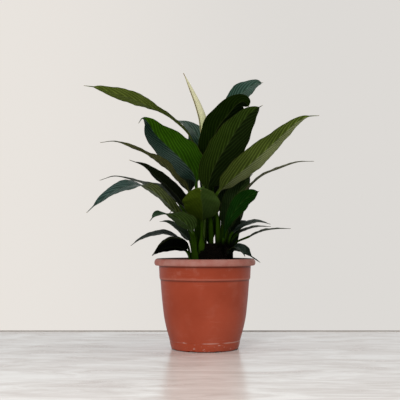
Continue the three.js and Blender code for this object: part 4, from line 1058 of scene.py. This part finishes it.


# young spathe: a satin cream-green sheet, greener at its base and along its veins, with brown
# along one margin and at the tip
def satinSpathe():
    material, tree, shader = newMaterial("satinSpathe")
    mapped = addNode(tree, "ShaderNodeSeparateXYZ", inputs={
        0: addNode(tree, "ShaderNodeUVMap", {"uv_map": "sheetMap"})}).outputs
    spot = addNode(tree, "ShaderNodeTexCoord").outputs["Object"]
    count = addNode(tree, "ShaderNodeMath", times, {
        0: mapped["X"], 1: 2 * flower["spathe"]["veins"]})
    near = addNode(tree, "ShaderNodeMath", {"operation": "PINGPONG"}, {0: count, 1: 0.5})
    cloud = addNode(tree, "ShaderNodeTexNoise", inputs={"Vector": spot, "Scale": 40, "Detail": 2})
    veins, base, margin, tip = (
        addNode(tree, "ShaderNodeMapRange", softly, {
            "Value": value, "From Min": low, "From Max": high})
        for value, low, high in ((near, 0.2, 0.03), (mapped["Y"], 0.5, 0.02),
                                 (mapped["X"], 0.992, 1), (mapped["Y"], 0.9, 0.985)))
    faint = addNode(tree, "ShaderNodeMapRange", softly, {"Value": veins, "To Max": 0.12})
    brownMark = addNode(tree, "ShaderNodeMath", {"operation": "MAXIMUM"}, {0: margin, 1: tip})
    paint = linear("#d0cca4")
    for share, colour in ((cloud, "#d8d5b2"), (base, "#a9b878"), (faint, "#9eb068"),
                          (brownMark, "#8f7848")):
        paint = addNode(tree, "ShaderNodeMix", colours, {
            0: share, 6: paint, 7: linear(colour)}).outputs[2]
    bump = addNode(tree, "ShaderNodeBump", inputs={
        "Height": veins, "Strength": 0.08, "Distance": 0.2 * mm})
    feed(shader, {"Base Color": paint, "Roughness": 0.46, "IOR": 1.42, "Normal": bump})
    return material


# spadix: pale yellow, matt and granular
def granularSpadix():
    material, tree, shader = newMaterial("granularSpadix")
    grains = addNode(tree, "ShaderNodeTexVoronoi", inputs={
        "Vector": addNode(tree, "ShaderNodeTexCoord").outputs["Object"], "Scale": 1400})
    tint = addNode(tree, "ShaderNodeMix", colours, {
        0: grains, 6: linear("#e6df9a"), 7: linear("#b9b468")}).outputs[2]
    bump = addNode(tree, "ShaderNodeBump", inputs={
        "Height": grains, "Strength": 0.6, "Distance": 0.15 * mm})
    feed(shader, {"Base Color": tint, "Roughness": 0.75, "Normal": bump})
    return material


def around(spine, shares, turn):  # places along a spine, and directions out from it
    centre, along = alongSpine(spine, shares)
    sideways = unit(np.cross([0, 1, 0], along))[:, None]
    forward = np.cross(along[:, None], sideways)
    turn = np.atleast_2d(turn)[..., None]
    return centre, sideways * np.cos(turn) + forward * np.sin(turn)


def barMesh(spine, shares, sides, radiusAt):  # a closed round bar along a spine
    centre, out = around(spine, shares, wholeTurn(sides))
    radius = np.array([radiusAt(share) for share in shares])[:, None, None]
    points, faces = closedRings(centre[0], centre[:, None] + radius * out, centre[-1])
    return points * mm, faces


def floretTree(material):  # small blunt florets on golden-angle seats
    tree, given = treeWith("spadixFlorets", {"Floret": "Float", "Seed": "Int"})
    smallest, largest = flower["spadix"]["spread"]
    seat = addNode(tree, "GeometryNodeInputNamedAttribute", {"data_type": "FLOAT"}, {
        "Name": "seat"})
    out = addNode(tree, "GeometryNodeInputNamedAttribute", {"data_type": "FLOAT_VECTOR"}, {
        "Name": "outward"})
    seats = addNode(tree, "GeometryNodeMeshToPoints", {"mode": "VERTICES"}, {
        "Mesh": given["Geometry"], "Selection": seat})
    floret = addNode(tree, "GeometryNodeMeshIcoSphere", inputs={"Radius": 1.0, "Subdivisions": 2})
    aim = addNode(tree, "FunctionNodeAlignRotationToVector", {"axis": "Z"}, {"Vector": out})
    size = addNode(tree, "FunctionNodeRandomValue", {"data_type": "FLOAT"}, {
        2: smallest, 3: largest, "Seed": given["Seed"]}).outputs[1]
    scaled = addNode(tree, "ShaderNodeMath", times, {0: size, 1: given["Floret"]})
    florets = addNode(tree, "GeometryNodeInstanceOnPoints", inputs={
        "Points": seats, "Instance": floret, "Rotation": aim,
        "Scale": scaled})
    core = addNode(tree, "GeometryNodeDeleteGeometry", {"domain": "POINT"}, {
        "Geometry": given["Geometry"], "Selection": seat})
    return closeTree(tree, florets, core, material)


spine, long = flower["spine"], spineLength(flower["spine"])
part = flower["stalk"]
shares = np.linspace(1 / long, part["end"], int(part["end"] * long / part["step"]))
points, faces = barMesh(spine, shares, part["sides"],
                        lambda share: part["radius"] * (part["foot"] - part["thinning"] * share))
stalkPiece = meshPiece("flowerStalk", points, faces, [fleshyStalk()])
stalkPiece.data.set_sharp_from_angle(angle=math.radians(50))
place(stalkPiece, "flower_stalk", "flower_stalk")

part = flower["spathe"]
shares = np.linspace(part["start"], 1, int((1 - part["start"]) * long / part["step"]))
centre, along = alongSpine(spine, shares)
grown = (shares - part["start"]) / (1 - part["start"])
up = np.array(part["face"], float)
normal = unit(up - along * (along @ up)[:, None])
across = np.cross(normal, along)
u = np.linspace(-1, 1, part["columns"])
body = mix(part["collar"], part["radius"], smooth(0, part["flare"], grown))
middle = np.maximum(body * (1 - grown ** part["taper"]), part["least"])[:, None]
turn = math.radians(part["wrap"]) * u
lap = part["lap"] * u * np.minimum(1, middle / 3)
pleat = part["pleat"] * np.cos(2 * math.pi * part["veins"] * (u + 1)) * np.minimum(1, middle / 4)
rings = []
for face in (-1, 1):
    away = middle + lap + pleat + face * part["thickness"] / 2 * np.minimum(1, middle / 2)
    rings.append(centre[:, None] + across[:, None] * (away * np.sin(turn))[..., None]
                 - normal[:, None] * (away * np.cos(turn))[..., None])
rings = np.concatenate(rings, axis=1)
top, bottom, sides = skinFaces(len(shares), part["columns"])
spathePiece = meshPiece("rolledSpathe", rings.reshape(-1, 3) * mm,
                        np.vstack([top, bottom, sides]), [satinSpathe()])
addMap(spathePiece.data, "sheetMap",
       np.stack(np.broadcast_arrays(u * 0.5 + 0.5, grown[:, None]), -1))
spathePiece.data.set_sharp_from_angle(angle=math.radians(50))
place(spathePiece, "spathe", "flower_spathe")

part = flower["spadix"]
reach = (part["end"] - part["start"]) * long


def clubRadius(share):  # a blunt club
    done = (share - part["start"]) / (part["end"] - part["start"])
    thinner = part["blunting"] * smooth(0.75, 1, done)
    return part["radius"] * (1 - thinner - part["neck"] * (1 - smooth(0, 0.2, done)))


shares = np.linspace(part["start"], part["end"], int(reach / part["step"]))
points, faces = barMesh(spine, shares, part["sides"], clubRadius)
order = (np.arange(part["florets"]) + 0.5) / part["florets"]
seatShares = mix(part["start"], part["end"], order)
turn = np.arange(part["florets"]) * math.pi * (3 - math.sqrt(5))
centre, outward = around(spine, seatShares, turn[:, None])
outward = outward[:, 0]
seats = (centre + outward * np.array([clubRadius(share) for share in seatShares])[:, None]) * mm
finish = granularSpadix()
spadixPiece = meshPiece("spadixClub", np.vstack([points, seats]), faces, [finish])
isSeat = np.arange(len(points) + len(seats)) >= len(points)
spadixPiece.data.attributes.new("seat", "FLOAT", "POINT").data.foreach_set(
    "value", isSeat.astype(np.float32))
spadixPiece.data.attributes.new("outward", "FLOAT_VECTOR", "POINT").data.foreach_set(
    "vector", np.vstack([np.zeros_like(points), outward]).ravel().astype(np.float32))
grow(spadixPiece, floretTree(finish), {"Floret": part["floret"] * mm, "Seed": part["seed"]})
place(spadixPiece, "spadix", "flower_spadix")
print("flower set")
